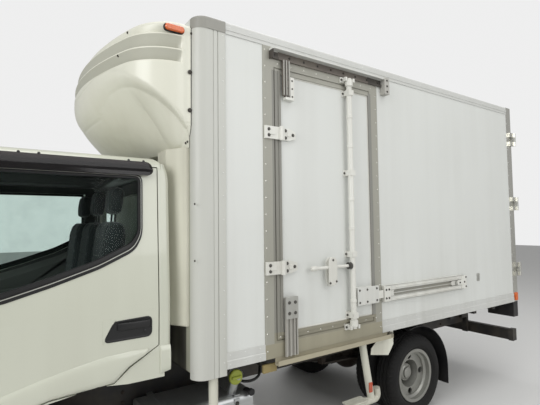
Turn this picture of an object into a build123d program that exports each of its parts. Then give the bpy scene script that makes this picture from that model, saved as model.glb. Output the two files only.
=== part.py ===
from build123d import *
import math
import os

# Refrigerated light truck: tilting cab, ladder chassis, twin rear wheels and an insulated box.
# Millimetres. +X points to the rear, the kerb side is -Y, +Z is up, the ground is Z = 0.

os.makedirs("parts", exist_ok=True)

# Wheels and axles
TYRE_RADIUS = 340
TYRE_WIDTH = 198
BEAD_RADIUS = 203
FLANGE_RADIUS = 221
RIM_WIDTH = 150
WHEELBASE = 2800
FRONT_AXLE_X = -1682
FRONT_TRACK = 1394
REAR_OUTER_TRACK = 1516
TWIN_SPACING = 232
DISC_OFFSET = 112
DISC_WALL = 12
KINGPIN_INSET = 97
RUNNING_GAP = 0.3
HAND_HOLES = 4
HAND_HOLE_RING = 150
HAND_HOLE_RADIUS = 27
HUB_RADIUS = 72
DRUM_RADIUS = 155

# Ladder chassis
FRAME_HALF_WIDTH = 375
RAIL_TOP = 690
RAIL_HEIGHT = 190
RAIL_FLANGE = 65
RAIL_WALL = 7
RAIL_FRONT_X = -2590
RAIL_REAR_X = 2640
PIVOT_X = -2620
PIVOT_Z = 640
PIVOT_RADIUS = 22
TOW_X = 2630
TOW_Z = 462
TOW_RADIUS = 16
PLATE_HOLE_SPACING = 210
PLATE_HOLE_RADIUS = 4
PLATE_HOLE_Z = 447

# Insulated box
BOX_FRONT_X = -987
BOX_REAR_X = 2750
BOX_HALF_WIDTH = 945
BOX_TOP = 2897
SKIRT_BOTTOM = 811
SKIRT_TOP = 905
FLOOR_TOP = 925
WALL = 75
FRONT_WALL = 100
ROOF_BOTTOM = BOX_TOP - 82
TOP_RAIL_BOTTOM = BOX_TOP - 77
RAIL_PROUD = 5
POST_REAR_X = -791
POST_BOTTOM = 775
POST_CORNER_RADIUS = 78
POST_GROOVE_X = -843
CAP_BOTTOM = BOX_TOP - 75
CAP_PROUD = 4
CAP_ROUNDING = 14
RAIL_ROUNDING = 16
SKIRT_TIER = 858
SKIRT_STEP = 4
PORTAL_DEPTH = 99
PORTAL_POST = 100
PORTAL_HEAD_BOTTOM = BOX_TOP - 107
DRIP_GROOVE_Z = BOX_TOP - 61

# Kerb-side door
DOOR_FRAME_FRONT_X = -519
DOOR_FRAME_REAR_X = 568
SIDE_LEAF_FRONT_X = -375
SIDE_LEAF_REAR_X = 455
SIDE_LEAF_BOTTOM = 970
SIDE_LEAF_TOP = BOX_TOP - 255
LEAF_GAP = 6

LEAF_CENTRE_X = (SIDE_LEAF_FRONT_X + SIDE_LEAF_REAR_X) / 2
LEAF_CENTRE_Z = (SIDE_LEAF_BOTTOM + SIDE_LEAF_TOP) / 2
LEAF_WIDTH = SIDE_LEAF_REAR_X - SIDE_LEAF_FRONT_X
LEAF_HEIGHT = SIDE_LEAF_TOP - SIDE_LEAF_BOTTOM
GROOVE_CENTRE_X = 22
GROOVE_BOTTOM = 917
GROOVE_TOP = BOX_TOP - 214
GROOVE_CENTRE_Z = (GROOVE_BOTTOM + GROOVE_TOP) / 2
GROOVE_WIDTH = 904
GROOVE_HEIGHT = GROOVE_TOP - GROOVE_BOTTOM
SEAL_FACE = 938

# Rear doors
REAR_LEAF_THICKNESS = 84
REAR_LEAF_PROUD = 5
HINGE_AXIS_X = 2772
HINGE_AXIS_Y = 970
ROD_RADIUS = 15

# Refrigeration unit
UNIT_HALF_WIDTH = 890
UNIT_FRONT_X = -1450
UNIT_CORNER_RADIUS = 305
UNIT_STRAIGHT_X = -1040
UNIT_TOP = BOX_TOP - 51
UNIT_BOTTOM = 2116

# Cab
CAB_HALF_WIDTH = 847
CAB_FRONT_X = -2750
CAB_BACK_X = -1130
CAB_TOP = 2058
CAB_SIDE_WALL = 60
CAB_SKIN = 45
CAB_BOTTOM = 560
CAB_NOSE_BOTTOM = 650
CAB_NOSE_REAR_X = -2440
SCREEN_BASE_X = -2735
SCREEN_BASE_Z = 1235
SCREEN_TOP_X = -2335
SCREEN_TOP_Z = 1955
WAIST_Z = 1200
DOOR_HINGE_X = -2500
DOOR_REAR_X = -1165
DOOR_TOP = 1985
HANDLE_X = -1328
HANDLE_Z = 1104
DOOR_BOTTOM = 620
CAB_DOOR_GAP = 6
GLASS = 6
GLASS_INSET = 16

BUMPER_FRONT_X = -2800
BUMPER_BOTTOM = 300
BUMPER_TOP = 600
DOOR_PIN_X = -2500
DOOR_PIN_Y = 842
DOOR_PIN_RADIUS = 8
DOOR_PIN_SPANS = ((745, 835), (1085, 1175))
CAB_FLOOR_UNDER = 930
REST_GAP = 5

# Values worked out from the ones above
AXLE_Z = TYRE_RADIUS
REAR_AXLE_X = FRONT_AXLE_X + WHEELBASE
FRONT_WHEEL_Y = FRONT_TRACK / 2
REAR_OUTER_Y = REAR_OUTER_TRACK / 2
REAR_INNER_Y = REAR_OUTER_Y - TWIN_SPACING
RAIL_BOTTOM = RAIL_TOP - RAIL_HEIGHT
KINGPIN_Y = FRONT_WHEEL_Y - KINGPIN_INSET
INNER_HALF = BOX_HALF_WIDTH - WALL
POST_HALF = BOX_HALF_WIDTH + RAIL_PROUD
PORTAL_FRONT_X = BOX_REAR_X - PORTAL_DEPTH
SIDES = (("left", -1), ("right", 1))


def slab(x_span, y_span, z_span, mode=Mode.ADD):
    """A rectangular block between two values on each axis."""
    spans = (x_span, y_span, z_span)
    centre = tuple((low + high) / 2 for low, high in spans)
    size = tuple(abs(high - low) for low, high in spans)
    with Locations(centre):
        Box(*size, mode=mode)


def rod(start, end, radius, mode=Mode.ADD):
    """A round bar between two points."""
    axis = Vector(*end) - Vector(*start)
    with BuildSketch(Plane(origin=start, z_dir=axis)) as section:
        Circle(radius)
    extrude(section.sketch, amount=axis.length, mode=mode)


def mirrored(y_low, y_high, side):
    """A span across the truck, on the left (-1) or the right (+1)."""
    return (side * y_low, side * y_high) if side > 0 else (-y_high, -y_low)


# Chassis

with BuildPart() as chassis_frame:
    for side_name, side in SIDES:
        with BuildSketch(Plane.YZ.offset(RAIL_FRONT_X)):
            with BuildLine():
                web = side * FRAME_HALF_WIDTH
                lip = side * (FRAME_HALF_WIDTH - RAIL_FLANGE)
                inner = side * (FRAME_HALF_WIDTH - RAIL_WALL)
                Polyline(
                    (lip, RAIL_TOP), (web, RAIL_TOP), (web, RAIL_BOTTOM), (lip, RAIL_BOTTOM),
                    (lip, RAIL_BOTTOM + RAIL_WALL), (inner, RAIL_BOTTOM + RAIL_WALL),
                    (inner, RAIL_TOP - RAIL_WALL), (lip, RAIL_TOP - RAIL_WALL), close=True)
            make_face()
        extrude(amount=RAIL_REAR_X - RAIL_FRONT_X)
        # Horn plate that carries the cab pivot bar
        slab((PIVOT_X - 40, RAIL_FRONT_X + 120), mirrored(298, 310, side), (RAIL_BOTTOM, PIVOT_Z + 40))
    # Cross members: centre along the frame, lower edge
    cross_members = ((-2565, 507), (-1230, 507), (-520, 620), (180, 507), (800, 507), (1560, 507),
                     (2200, 507), (2600, 507))
    for centre_x, low_z in cross_members:
        slab((centre_x - 25, centre_x + 25), (-FRAME_HALF_WIDTH + RAIL_WALL, FRAME_HALF_WIDTH - RAIL_WALL),
             (low_z, low_z + 53))
    # Posts that the tilting cab comes down on
    for side_name, side in SIDES:
        slab((-1240, -1190), mirrored(FRAME_HALF_WIDTH - RAIL_FLANGE, FRAME_HALF_WIDTH, side),
             (RAIL_TOP, CAB_FLOOR_UNDER - REST_GAP))
    rod((PIVOT_X, -410, PIVOT_Z), (PIVOT_X, 410, PIVOT_Z), PIVOT_RADIUS)
    # Towing lug under the rear cross member
    slab((2590, TOW_X + 30), (-10, 10), (TOW_Z - 32, 512))
    rod((TOW_X, -12, TOW_Z), (TOW_X, 12, TOW_Z), TOW_RADIUS, mode=Mode.SUBTRACT)
chassis_frame.part.label = "chassis_frame"
export_step(chassis_frame.part, "parts/chassis_frame.step")

SILL_TOP = 752
with BuildPart() as box_subframe:
    for side_name, side in SIDES:
        slab((-940, RAIL_REAR_X), mirrored(FRAME_HALF_WIDTH - RAIL_FLANGE, FRAME_HALF_WIDTH, side),
             (RAIL_TOP, SILL_TOP))
    cross_bearers = (-900, -480, -80, 320, 640, 1640, 2040, 2400)
    for centre_x in cross_bearers:
        slab((centre_x - 25, centre_x + 25), (-INNER_HALF + 5, INNER_HALF - 5), (SILL_TOP, SKIRT_BOTTOM))
box_subframe.part.label = "box_subframe"
export_step(box_subframe.part, "parts/box_subframe.step")

with BuildPart() as powertrain:
    slab((-2000, -1350), (-280, 280), (430, 915))
    slab((-1350, -1050), (-170, 170), (560, 760))
    rod((-1050, 0, 610), (-905, 0, 610), 60)
    for side_name, side in SIDES:
        slab((-1900, -1840), mirrored(280, FRAME_HALF_WIDTH - RAIL_WALL, side), (590, 640))
powertrain.part.label = "powertrain"
export_step(powertrain.part, "parts/powertrain.step")

# Front axle with its springs

BEAM_END = KINGPIN_Y - 4
SPRING_Y = 340
with BuildPart() as front_axle:
    with BuildSketch(Plane.YZ.offset(FRONT_AXLE_X - 35)):
        with BuildLine():
            Polyline((-BEAM_END, 370), (-460, 350), (-400, 300), (400, 300), (460, 350), (BEAM_END, 370),
                     (BEAM_END, 310), (490, 300), (420, 240), (-420, 240), (-490, 300), (-BEAM_END, 310),
                     close=True)
        make_face()
    extrude(amount=70)
    for side_name, side in SIDES:
        rod((FRONT_AXLE_X, side * KINGPIN_Y, 300), (FRONT_AXLE_X, side * KINGPIN_Y, 380), 38)
        rod((FRONT_AXLE_X, side * KINGPIN_Y, 300), (FRONT_AXLE_X, side * KINGPIN_Y, 380),
            16 + RUNNING_GAP, mode=Mode.SUBTRACT)
        slab((FRONT_AXLE_X - 60, FRONT_AXLE_X + 60), mirrored(SPRING_Y - 34, SPRING_Y + 34, side), (300, 330))
front_axle.part.label = "front_axle"
export_step(front_axle.part, "parts/front_axle.step")

with BuildPart() as leaf_springs:
    springs = ((FRONT_AXLE_X, 330, 600, 60), (REAR_AXLE_X, 405, 640, 45))
    for axle_x, seat_z, half_length, rise in springs:
        with BuildSketch(Plane.XZ.offset(SPRING_Y + 32), Plane.XZ.offset(-SPRING_Y + 32)):
            with BuildLine():
                ThreePointArc((axle_x - half_length, seat_z + rise), (axle_x, seat_z + 22),
                              (axle_x + half_length, seat_z + rise))
                Line((axle_x + half_length, seat_z + rise), (axle_x + half_length, seat_z + rise - 14))
                Polyline((axle_x + half_length, seat_z + rise - 14), (axle_x + 70, seat_z),
                         (axle_x - 70, seat_z), (axle_x - half_length, seat_z + rise - 14))
                Line((axle_x - half_length, seat_z + rise - 14), (axle_x - half_length, seat_z + rise))
            make_face()
        extrude(amount=-64)
        for end_x in (axle_x - half_length, axle_x + half_length):
            for side_name, side in SIDES:
                slab((end_x - 22, end_x + 22), mirrored(SPRING_Y - 26, SPRING_Y + 26, side),
                     (seat_z + rise - 14, RAIL_BOTTOM))
leaf_springs.part.label = "leaf_springs"
export_step(leaf_springs.part, "parts/leaf_springs.step")

REAR_SPINDLE_RADIUS = 38
REAR_SPINDLE_END = REAR_OUTER_Y - 70
with BuildPart() as rear_axle:
    rod((REAR_AXLE_X, -430, AXLE_Z), (REAR_AXLE_X, 430, AXLE_Z), 62)
    rod((REAR_AXLE_X, -REAR_SPINDLE_END, AXLE_Z), (REAR_AXLE_X, REAR_SPINDLE_END, AXLE_Z), REAR_SPINDLE_RADIUS)
    with Locations((REAR_AXLE_X, 0, AXLE_Z)):
        Sphere(150)
    rod((REAR_AXLE_X - 230, 0, AXLE_Z), (REAR_AXLE_X, 0, AXLE_Z), 75)
    for side_name, side in SIDES:
        slab((REAR_AXLE_X - 70, REAR_AXLE_X + 70), mirrored(SPRING_Y - 34, SPRING_Y + 34, side),
             (AXLE_Z + 20, 405))
    rod((REAR_AXLE_X - 230, 0, AXLE_Z), (-897, 0, 610), 45)
rear_axle.part.label = "rear_axle"
export_step(rear_axle.part, "parts/rear_axle.step")

# Underneath the box

with BuildPart() as fuel_tank:
    slab((-1180, -520), (-800, -430), (290, 580))
    fillet(fuel_tank.edges().filter_by(Axis.X), 45)
    rod((-650, -740, 570), (-650, -800, 700), 30)
    rod((-650, -792, 682), (-650, -810, 722), 45)
    for strap_x in (-1060, -640):
        slab((strap_x - 20, strap_x + 20), (-432, -FRAME_HALF_WIDTH), (500, 560))
        slab((strap_x - 18, strap_x + 18), (-803, -500), (578, 583))
        slab((strap_x - 18, strap_x + 18), (-804, -800), (340, 560))
fuel_tank.part.label = "fuel_tank"
export_step(fuel_tank.part, "parts/fuel_tank.step")

with BuildPart() as battery_box:
    slab((-700, -60), (440, 780), (330, 620))
    slab((-640, -120), (FRAME_HALF_WIDTH, 440), (520, 600))
battery_box.part.label = "battery_box"
export_step(battery_box.part, "parts/battery_box.step")

with BuildPart() as exhaust:
    rod((-1050, 230, 460), (-250, 230, 390), 32)
    rod((-250, 230, 390), (450, 230, 390), 95)
    rod((450, 230, 390), (700, 230, 390), 32)
    slab((165, 195), (200, 260), (470, RAIL_BOTTOM + RAIL_WALL))
exhaust.part.label = "exhaust"
export_step(exhaust.part, "parts/exhaust.step")

with BuildPart() as front_bumper:
    with BuildSketch(Plane.XY.offset(BUMPER_BOTTOM)) as section:
        with BuildLine():
            ThreePointArc((-2740, -800), (BUMPER_FRONT_X, 0), (-2740, 800))
            ThreePointArc((-2740, 800), (-2708, 858), (-2650, 880))
            Polyline((-2650, 880), (-2440, 880), (-2440, 872), (-2650, 872))
            ThreePointArc((-2650, 872), (-2702, 852), (-2732, 800))
            ThreePointArc((-2732, 800), (BUMPER_FRONT_X + 8, 0), (-2732, -800))
            ThreePointArc((-2732, -800), (-2702, -852), (-2650, -872))
            Polyline((-2650, -872), (-2440, -872), (-2440, -880), (-2650, -880))
            ThreePointArc((-2650, -880), (-2708, -858), (-2740, -800))
        make_face()
    extrude(section.sketch, amount=BUMPER_TOP - BUMPER_BOTTOM)
    # Air intake, fog-lamp holes and the relief line below them
    with BuildSketch(Plane.YZ.offset(-2900)) as section:
        with Locations((0, 475)):
            RectangleRounded(760, 96, 20)
        with Locations((-640, 470), (640, 470)):
            RectangleRounded(170, 84, 26)
    extrude(section.sketch, amount=250, mode=Mode.SUBTRACT)
    for slat_z in (450, 475, 500):
        slab((-2787, -2781), (-388, 388), (slat_z - 3, slat_z + 3))
    for fog_side in (-1, 1):
        slab((-2775, -2748), mirrored(560, 720, fog_side), (440, 500))
    for side_name, side in SIDES:
        slab((-2783, RAIL_FRONT_X), mirrored(315, 375, side), (360, 410))
        slab((RAIL_FRONT_X - 20, RAIL_FRONT_X + 60), mirrored(330, 370, side), (360, RAIL_BOTTOM))
front_bumper.part.label = "front_bumper"
export_step(front_bumper.part, "parts/front_bumper.step")

STEP_REAR_X = FRONT_AXLE_X - 430
STEP_TOP = CAB_BOTTOM - 8
STEP_TREAD_Z = 422
with BuildPart() as cab_steps:
    for side_name, side in SIDES:
        # Side skirt behind the bumper, with the foot opening cut through it
        slab((-2438, STEP_REAR_X), mirrored(864, 874, side), (BUMPER_BOTTOM + 20, STEP_TOP))
        with BuildSketch(Plane.XZ.offset(-side * 880)) as section:
            with Locations(((STEP_REAR_X - 2438) / 2, STEP_TREAD_Z + 60)):
                RectangleRounded(250, 96, 24)
        extrude(section.sketch, amount=side * 30, mode=Mode.SUBTRACT)
        slab((-2420, STEP_REAR_X + 8), mirrored(650, 866, side), (STEP_TREAD_Z, STEP_TREAD_Z + 12))
        slab((-2428, -2418), mirrored(650, 866, side), (STEP_TREAD_Z, STEP_TOP))
        slab((STEP_REAR_X - 10, STEP_REAR_X), mirrored(650, 866, side), (STEP_TREAD_Z, STEP_TOP))
        for arm_x in (-2380, STEP_REAR_X - 40):
            slab((arm_x, arm_x + 30), mirrored(FRAME_HALF_WIDTH, 655, side), (512, STEP_TOP))
            slab((arm_x, arm_x + 30), mirrored(645, 655, side), (STEP_TREAD_Z, STEP_TOP))
cab_steps.part.label = "cab_steps"
export_step(cab_steps.part, "parts/cab_steps.step")

with BuildPart() as under_run_bar:
    slab((2690, 2750), (-880, 880), (392, 503))
    for side_name, side in SIDES:
        with BuildSketch(Plane.XY.offset(386)) as section:
            with BuildLine():
                Polyline((2684, side * 862), (2754, side * 862), (2766, side * 908), (2690, side * 908), close=True)
            make_face()
        extrude(section.sketch, amount=123)
    for side_name, side in SIDES:
        slab((2655, 2690), mirrored(355, 415, side), (392, 640))
        slab((2560, 2690), mirrored(FRAME_HALF_WIDTH, 415, side), (560, 660))
    for hole_y in (-PLATE_HOLE_SPACING / 2, PLATE_HOLE_SPACING / 2):
        rod((2680, hole_y, PLATE_HOLE_Z), (2760, hole_y, PLATE_HOLE_Z), PLATE_HOLE_RADIUS, mode=Mode.SUBTRACT)
under_run_bar.part.label = "under_run_bar"
export_step(under_run_bar.part, "parts/under_run_bar.step")

GUARD_RADIUS = 425
with BuildPart() as mudguards:
    for side_name, side in SIDES:
        start_y = -870 if side < 0 else 440
        with BuildSketch(Plane.XZ.offset(-start_y)):
            with BuildLine():
                outer = CenterArc((REAR_AXLE_X, AXLE_Z), GUARD_RADIUS, 0, 105)
                inner = CenterArc((REAR_AXLE_X, AXLE_Z), GUARD_RADIUS - 6, 0, 105)
                Polyline(outer @ 0, (REAR_AXLE_X + GUARD_RADIUS, 190), (REAR_AXLE_X + GUARD_RADIUS - 6, 190),
                         inner @ 0)
                Line(outer @ 1, inner @ 1)
            make_face()
        extrude(amount=-430)
        slab((REAR_AXLE_X + 300, REAR_AXLE_X + 330), mirrored(FRAME_HALF_WIDTH, 500, side), (600, 640))
mudguards.part.label = "mudguards"
export_step(mudguards.part, "parts/mudguards.step")

GUARD_PIPE = 28
GUARD_END_X = REAR_AXLE_X - 558
GUARD_Z = 308
with BuildPart() as side_guards:
    for side_name, side in SIDES:
        y = side * 890
        # Front leg and lower pipe in one bend, with its rear end curled up
        with BuildLine() as route:
            FilletPolyline((-850, y, POST_BOTTOM), (-850, y, GUARD_Z), (GUARD_END_X, y, GUARD_Z),
                           (GUARD_END_X - 12, y, GUARD_Z + 78), radius=34)
        with BuildSketch(Plane(origin=route.line @ 0, z_dir=route.line % 0)) as section:
            Circle(GUARD_PIPE)
        sweep(section.sketch, path=route.line)
        # Rear leg, bent outwards near its top
        with BuildLine() as leg:
            FilletPolyline((GUARD_END_X - 150, y, SKIRT_BOTTOM), (GUARD_END_X - 150, y, 720),
                           (GUARD_END_X - 70, y, GUARD_Z), radius=160)
        with BuildSketch(Plane(origin=leg.line @ 0, z_dir=leg.line % 0)) as section:
            Circle(GUARD_PIPE)
        sweep(section.sketch, path=leg.line)
        slab((GUARD_END_X - 334, GUARD_END_X - 146), (y - 44, y + 44), (GUARD_Z + 22, GUARD_Z + 32))
        # Gusset plate behind the leg, hung from the skirt
        with BuildSketch(Plane.XZ.offset(-side * (BOX_HALF_WIDTH - 20))) as section:
            with BuildLine():
                Polyline((460, 657), (658, 620), (722, 696), (722, SKIRT_BOTTOM), (610, SKIRT_BOTTOM), (467, 702),
                         close=True)
            make_face()
        extrude(section.sketch, amount=side * 4)
side_guards.part.label = "side_guards"
export_step(side_guards.part, "parts/side_guards.step")

with BuildPart() as lamps:
    for side_name, side in SIDES:
        slab((2660, 2752), mirrored(665, 940, side), (650, SKIRT_BOTTOM))
lamps.part.label = "lamps"
export_step(lamps.part, "parts/lamps.step")

# Insulated box

with BuildPart() as box_floor:
    slab((BOX_FRONT_X + FRONT_WALL, PORTAL_FRONT_X), (-INNER_HALF, INNER_HALF), (SKIRT_BOTTOM, FLOOR_TOP))
box_floor.part.label = "box_floor"
export_step(box_floor.part, "parts/box_floor.step")

with BuildPart() as box_side_walls:
    wall_z = (SKIRT_TOP, TOP_RAIL_BOTTOM)
    slab((POST_REAR_X, DOOR_FRAME_FRONT_X), (-BOX_HALF_WIDTH, -INNER_HALF), wall_z)
    slab((DOOR_FRAME_REAR_X, PORTAL_FRONT_X), (-BOX_HALF_WIDTH, -INNER_HALF), wall_z)
    slab((POST_REAR_X, PORTAL_FRONT_X), (INNER_HALF, BOX_HALF_WIDTH), wall_z)
box_side_walls.part.label = "box_side_walls"
export_step(box_side_walls.part, "parts/box_side_walls.step")

with BuildPart() as box_front_wall:
    slab((BOX_FRONT_X, BOX_FRONT_X + FRONT_WALL), (-INNER_HALF, INNER_HALF), (SKIRT_BOTTOM, ROOF_BOTTOM))
box_front_wall.part.label = "box_front_wall"
export_step(box_front_wall.part, "parts/box_front_wall.step")

with BuildPart() as box_roof:
    slab((BOX_FRONT_X, PORTAL_FRONT_X), (-INNER_HALF, INNER_HALF), (ROOF_BOTTOM, BOX_TOP - 8))
box_roof.part.label = "box_roof"
export_step(box_roof.part, "parts/box_roof.step")



def post_outline(half, side):
    """The rounded corner post seen from above, out to the given half width."""
    corner = POST_CORNER_RADIUS + half - POST_HALF
    short = corner * (1 - math.sqrt(0.5))
    with BuildLine() as outline:
        Line((POST_REAR_X, side * half), (BOX_FRONT_X + corner, side * half))
        ThreePointArc((BOX_FRONT_X + corner, side * half), (BOX_FRONT_X + short, side * (half - short)),
                      (BOX_FRONT_X, side * (half - corner)))
        Polyline((BOX_FRONT_X, side * (half - corner)), (BOX_FRONT_X, side * INNER_HALF),
                 (POST_REAR_X, side * INNER_HALF), (POST_REAR_X, side * half))
    return outline.line


with BuildPart() as box_edge_rails:
    for side_name, side in SIDES:
        with BuildSketch(Plane.XY.offset(POST_BOTTOM)) as section:
            with BuildLine():
                add(post_outline(POST_HALF, side))
            make_face()
        extrude(section.sketch, amount=CAP_BOTTOM - POST_BOTTOM)
        for groove_x, groove_depth in ((POST_GROOVE_X, 4), (POST_GROOVE_X - 30, 2.5)):
            slab((groove_x - 3, groove_x + 3), mirrored(POST_HALF - groove_depth, POST_HALF + 1, side),
                 (POST_BOTTOM - 1, CAP_BOTTOM), mode=Mode.SUBTRACT)
        # Top rail with a rounded upper edge and a drip groove
        with BuildSketch(Plane.YZ.offset(POST_REAR_X)) as section:
            with BuildLine():
                Polyline((side * INNER_HALF, BOX_TOP), (side * INNER_HALF, TOP_RAIL_BOTTOM),
                         (side * POST_HALF, TOP_RAIL_BOTTOM), (side * POST_HALF, DRIP_GROOVE_Z),
                         (side * (POST_HALF - 3), DRIP_GROOVE_Z + 2), (side * (POST_HALF - 3), DRIP_GROOVE_Z + 8),
                         (side * POST_HALF, DRIP_GROOVE_Z + 10), (side * POST_HALF, BOX_TOP - RAIL_ROUNDING))
                TangentArc((side * POST_HALF, BOX_TOP - RAIL_ROUNDING),
                           (side * (POST_HALF - RAIL_ROUNDING), BOX_TOP), tangent=(0, 1))
                Line((side * (POST_HALF - RAIL_ROUNDING), BOX_TOP), (side * INNER_HALF, BOX_TOP))
            make_face()
        extrude(section.sketch, amount=PORTAL_FRONT_X - POST_REAR_X)
        # Skirt rail in two tiers
        with BuildSketch(Plane.YZ.offset(POST_REAR_X)) as section:
            with BuildLine():
                Polyline((side * INNER_HALF, SKIRT_BOTTOM), (side * (POST_HALF + SKIRT_STEP), SKIRT_BOTTOM),
                         (side * (POST_HALF + SKIRT_STEP), SKIRT_TIER - 3), (side * POST_HALF, SKIRT_TIER + 1),
                         (side * POST_HALF, SKIRT_TOP), (side * INNER_HALF, SKIRT_TOP), close=True)
            make_face()
        extrude(section.sketch, amount=PORTAL_FRONT_X - POST_REAR_X)
        if side < 0:
            slab((DOOR_FRAME_FRONT_X, DOOR_FRAME_REAR_X), (-POST_HALF - SKIRT_STEP - 1, -INNER_HALF),
                 (SKIRT_BOTTOM - 1, SKIRT_TOP), mode=Mode.SUBTRACT)
    # Moulded caps on the two posts
    for side_name, side in SIDES:
        with BuildSketch(Plane.XY.offset(CAP_BOTTOM)) as section:
            with BuildLine():
                add(post_outline(POST_HALF + CAP_PROUD, side))
            make_face()
        extrude(section.sketch, amount=BOX_TOP - CAP_BOTTOM)
    cap_edges = box_edge_rails.edges().group_by(Axis.Z)[-1].filter_by(lambda e: e.center().X < POST_REAR_X - 20)
    fillet(cap_edges.filter_by(lambda e: abs(e.center().Y) > INNER_HALF + 20 and e.center().X > BOX_FRONT_X + 2),
           CAP_ROUNDING)
box_edge_rails.part.label = "box_edge_rails"
export_step(box_edge_rails.part, "parts/box_edge_rails.step")

with BuildPart() as rear_portal:
    slab((PORTAL_FRONT_X, BOX_REAR_X), (-BOX_HALF_WIDTH, BOX_HALF_WIDTH), (SKIRT_BOTTOM, BOX_TOP))
    slab((PORTAL_FRONT_X, BOX_REAR_X), (-BOX_HALF_WIDTH + PORTAL_POST, BOX_HALF_WIDTH - PORTAL_POST),
         (FLOOR_TOP, PORTAL_HEAD_BOTTOM), mode=Mode.SUBTRACT)
    for side_name, side in SIDES:
        for hinge_z in (1150, 1850, 2550):
            slab((BOX_REAR_X - 60, HINGE_AXIS_X), mirrored(BOX_HALF_WIDTH, HINGE_AXIS_Y - 4, side),
                 (hinge_z - 70, hinge_z - 25))
            slab((BOX_REAR_X - 60, HINGE_AXIS_X), mirrored(BOX_HALF_WIDTH, HINGE_AXIS_Y - 4, side),
                 (hinge_z + 25, hinge_z + 70))
            rod((HINGE_AXIS_X, side * HINGE_AXIS_Y, hinge_z - 70), (HINGE_AXIS_X, side * HINGE_AXIS_Y, hinge_z - 25), 13)
            rod((HINGE_AXIS_X, side * HINGE_AXIS_Y, hinge_z + 25), (HINGE_AXIS_X, side * HINGE_AXIS_Y, hinge_z + 70), 13)
            rod((HINGE_AXIS_X, side * HINGE_AXIS_Y, hinge_z - 30), (HINGE_AXIS_X, side * HINGE_AXIS_Y, hinge_z + 30), 6)
rear_portal.part.label = "rear_portal"
export_step(rear_portal.part, "parts/rear_portal.step")

FRAME_FACE_Y = -POST_HALF
with BuildPart() as side_door_frame:
    slab((DOOR_FRAME_FRONT_X, DOOR_FRAME_REAR_X), (FRAME_FACE_Y, -INNER_HALF), (SKIRT_BOTTOM, TOP_RAIL_BOTTOM))
    slab((SIDE_LEAF_FRONT_X - LEAF_GAP, SIDE_LEAF_REAR_X + LEAF_GAP), (FRAME_FACE_Y, -INNER_HALF),
         (SIDE_LEAF_BOTTOM - LEAF_GAP, SIDE_LEAF_TOP + LEAF_GAP), mode=Mode.SUBTRACT)
    # Rolled groove between the outer flange and the inner ridge
    with BuildSketch(Plane.XZ.offset(-FRAME_FACE_Y)) as section:
        with Locations((GROOVE_CENTRE_X, GROOVE_CENTRE_Z)):
            Rectangle(GROOVE_WIDTH + 9, GROOVE_HEIGHT + 9)
            Rectangle(GROOVE_WIDTH - 9, GROOVE_HEIGHT - 9, mode=Mode.SUBTRACT)
    extrude(section.sketch, amount=-7, mode=Mode.SUBTRACT)
    # Lipped edge beside the opening
    with BuildSketch(Plane.XZ.offset(-FRAME_FACE_Y)) as section:
        with Locations((LEAF_CENTRE_X, LEAF_CENTRE_Z)):
            Rectangle(LEAF_WIDTH + 2 * LEAF_GAP + 36, LEAF_HEIGHT + 2 * LEAF_GAP + 36)
            Rectangle(LEAF_WIDTH + 2 * LEAF_GAP, LEAF_HEIGHT + 2 * LEAF_GAP, mode=Mode.SUBTRACT)
    extrude(section.sketch, amount=6)
side_door_frame.part.label = "side_door_frame"
export_step(side_door_frame.part, "parts/side_door_frame.step")

with BuildPart() as side_door_seal:
    with BuildSketch(Plane.XZ.offset(SEAL_FACE)) as section:
        with Locations((LEAF_CENTRE_X, LEAF_CENTRE_Z)):
            Rectangle(LEAF_WIDTH + 2 * LEAF_GAP - 0.6, LEAF_HEIGHT + 2 * LEAF_GAP - 0.6)
            Rectangle(LEAF_WIDTH + 0.6, LEAF_HEIGHT + 0.6, mode=Mode.SUBTRACT)
    extrude(section.sketch, amount=-30)
side_door_seal.part.label = "side_door_seal"
export_step(side_door_seal.part, "parts/side_door_seal.step")

LEAF_OUTER_Y = -BOX_HALF_WIDTH
with BuildPart() as side_door:
    slab((SIDE_LEAF_FRONT_X, SIDE_LEAF_REAR_X), (LEAF_OUTER_Y, -INNER_HALF), (SIDE_LEAF_BOTTOM, SIDE_LEAF_TOP))
    chamfer(side_door.faces().sort_by(Axis.Y)[0].edges(), 3)
side_door.part.label = "side_door"
export_step(side_door.part, "parts/side_door.step")

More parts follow.
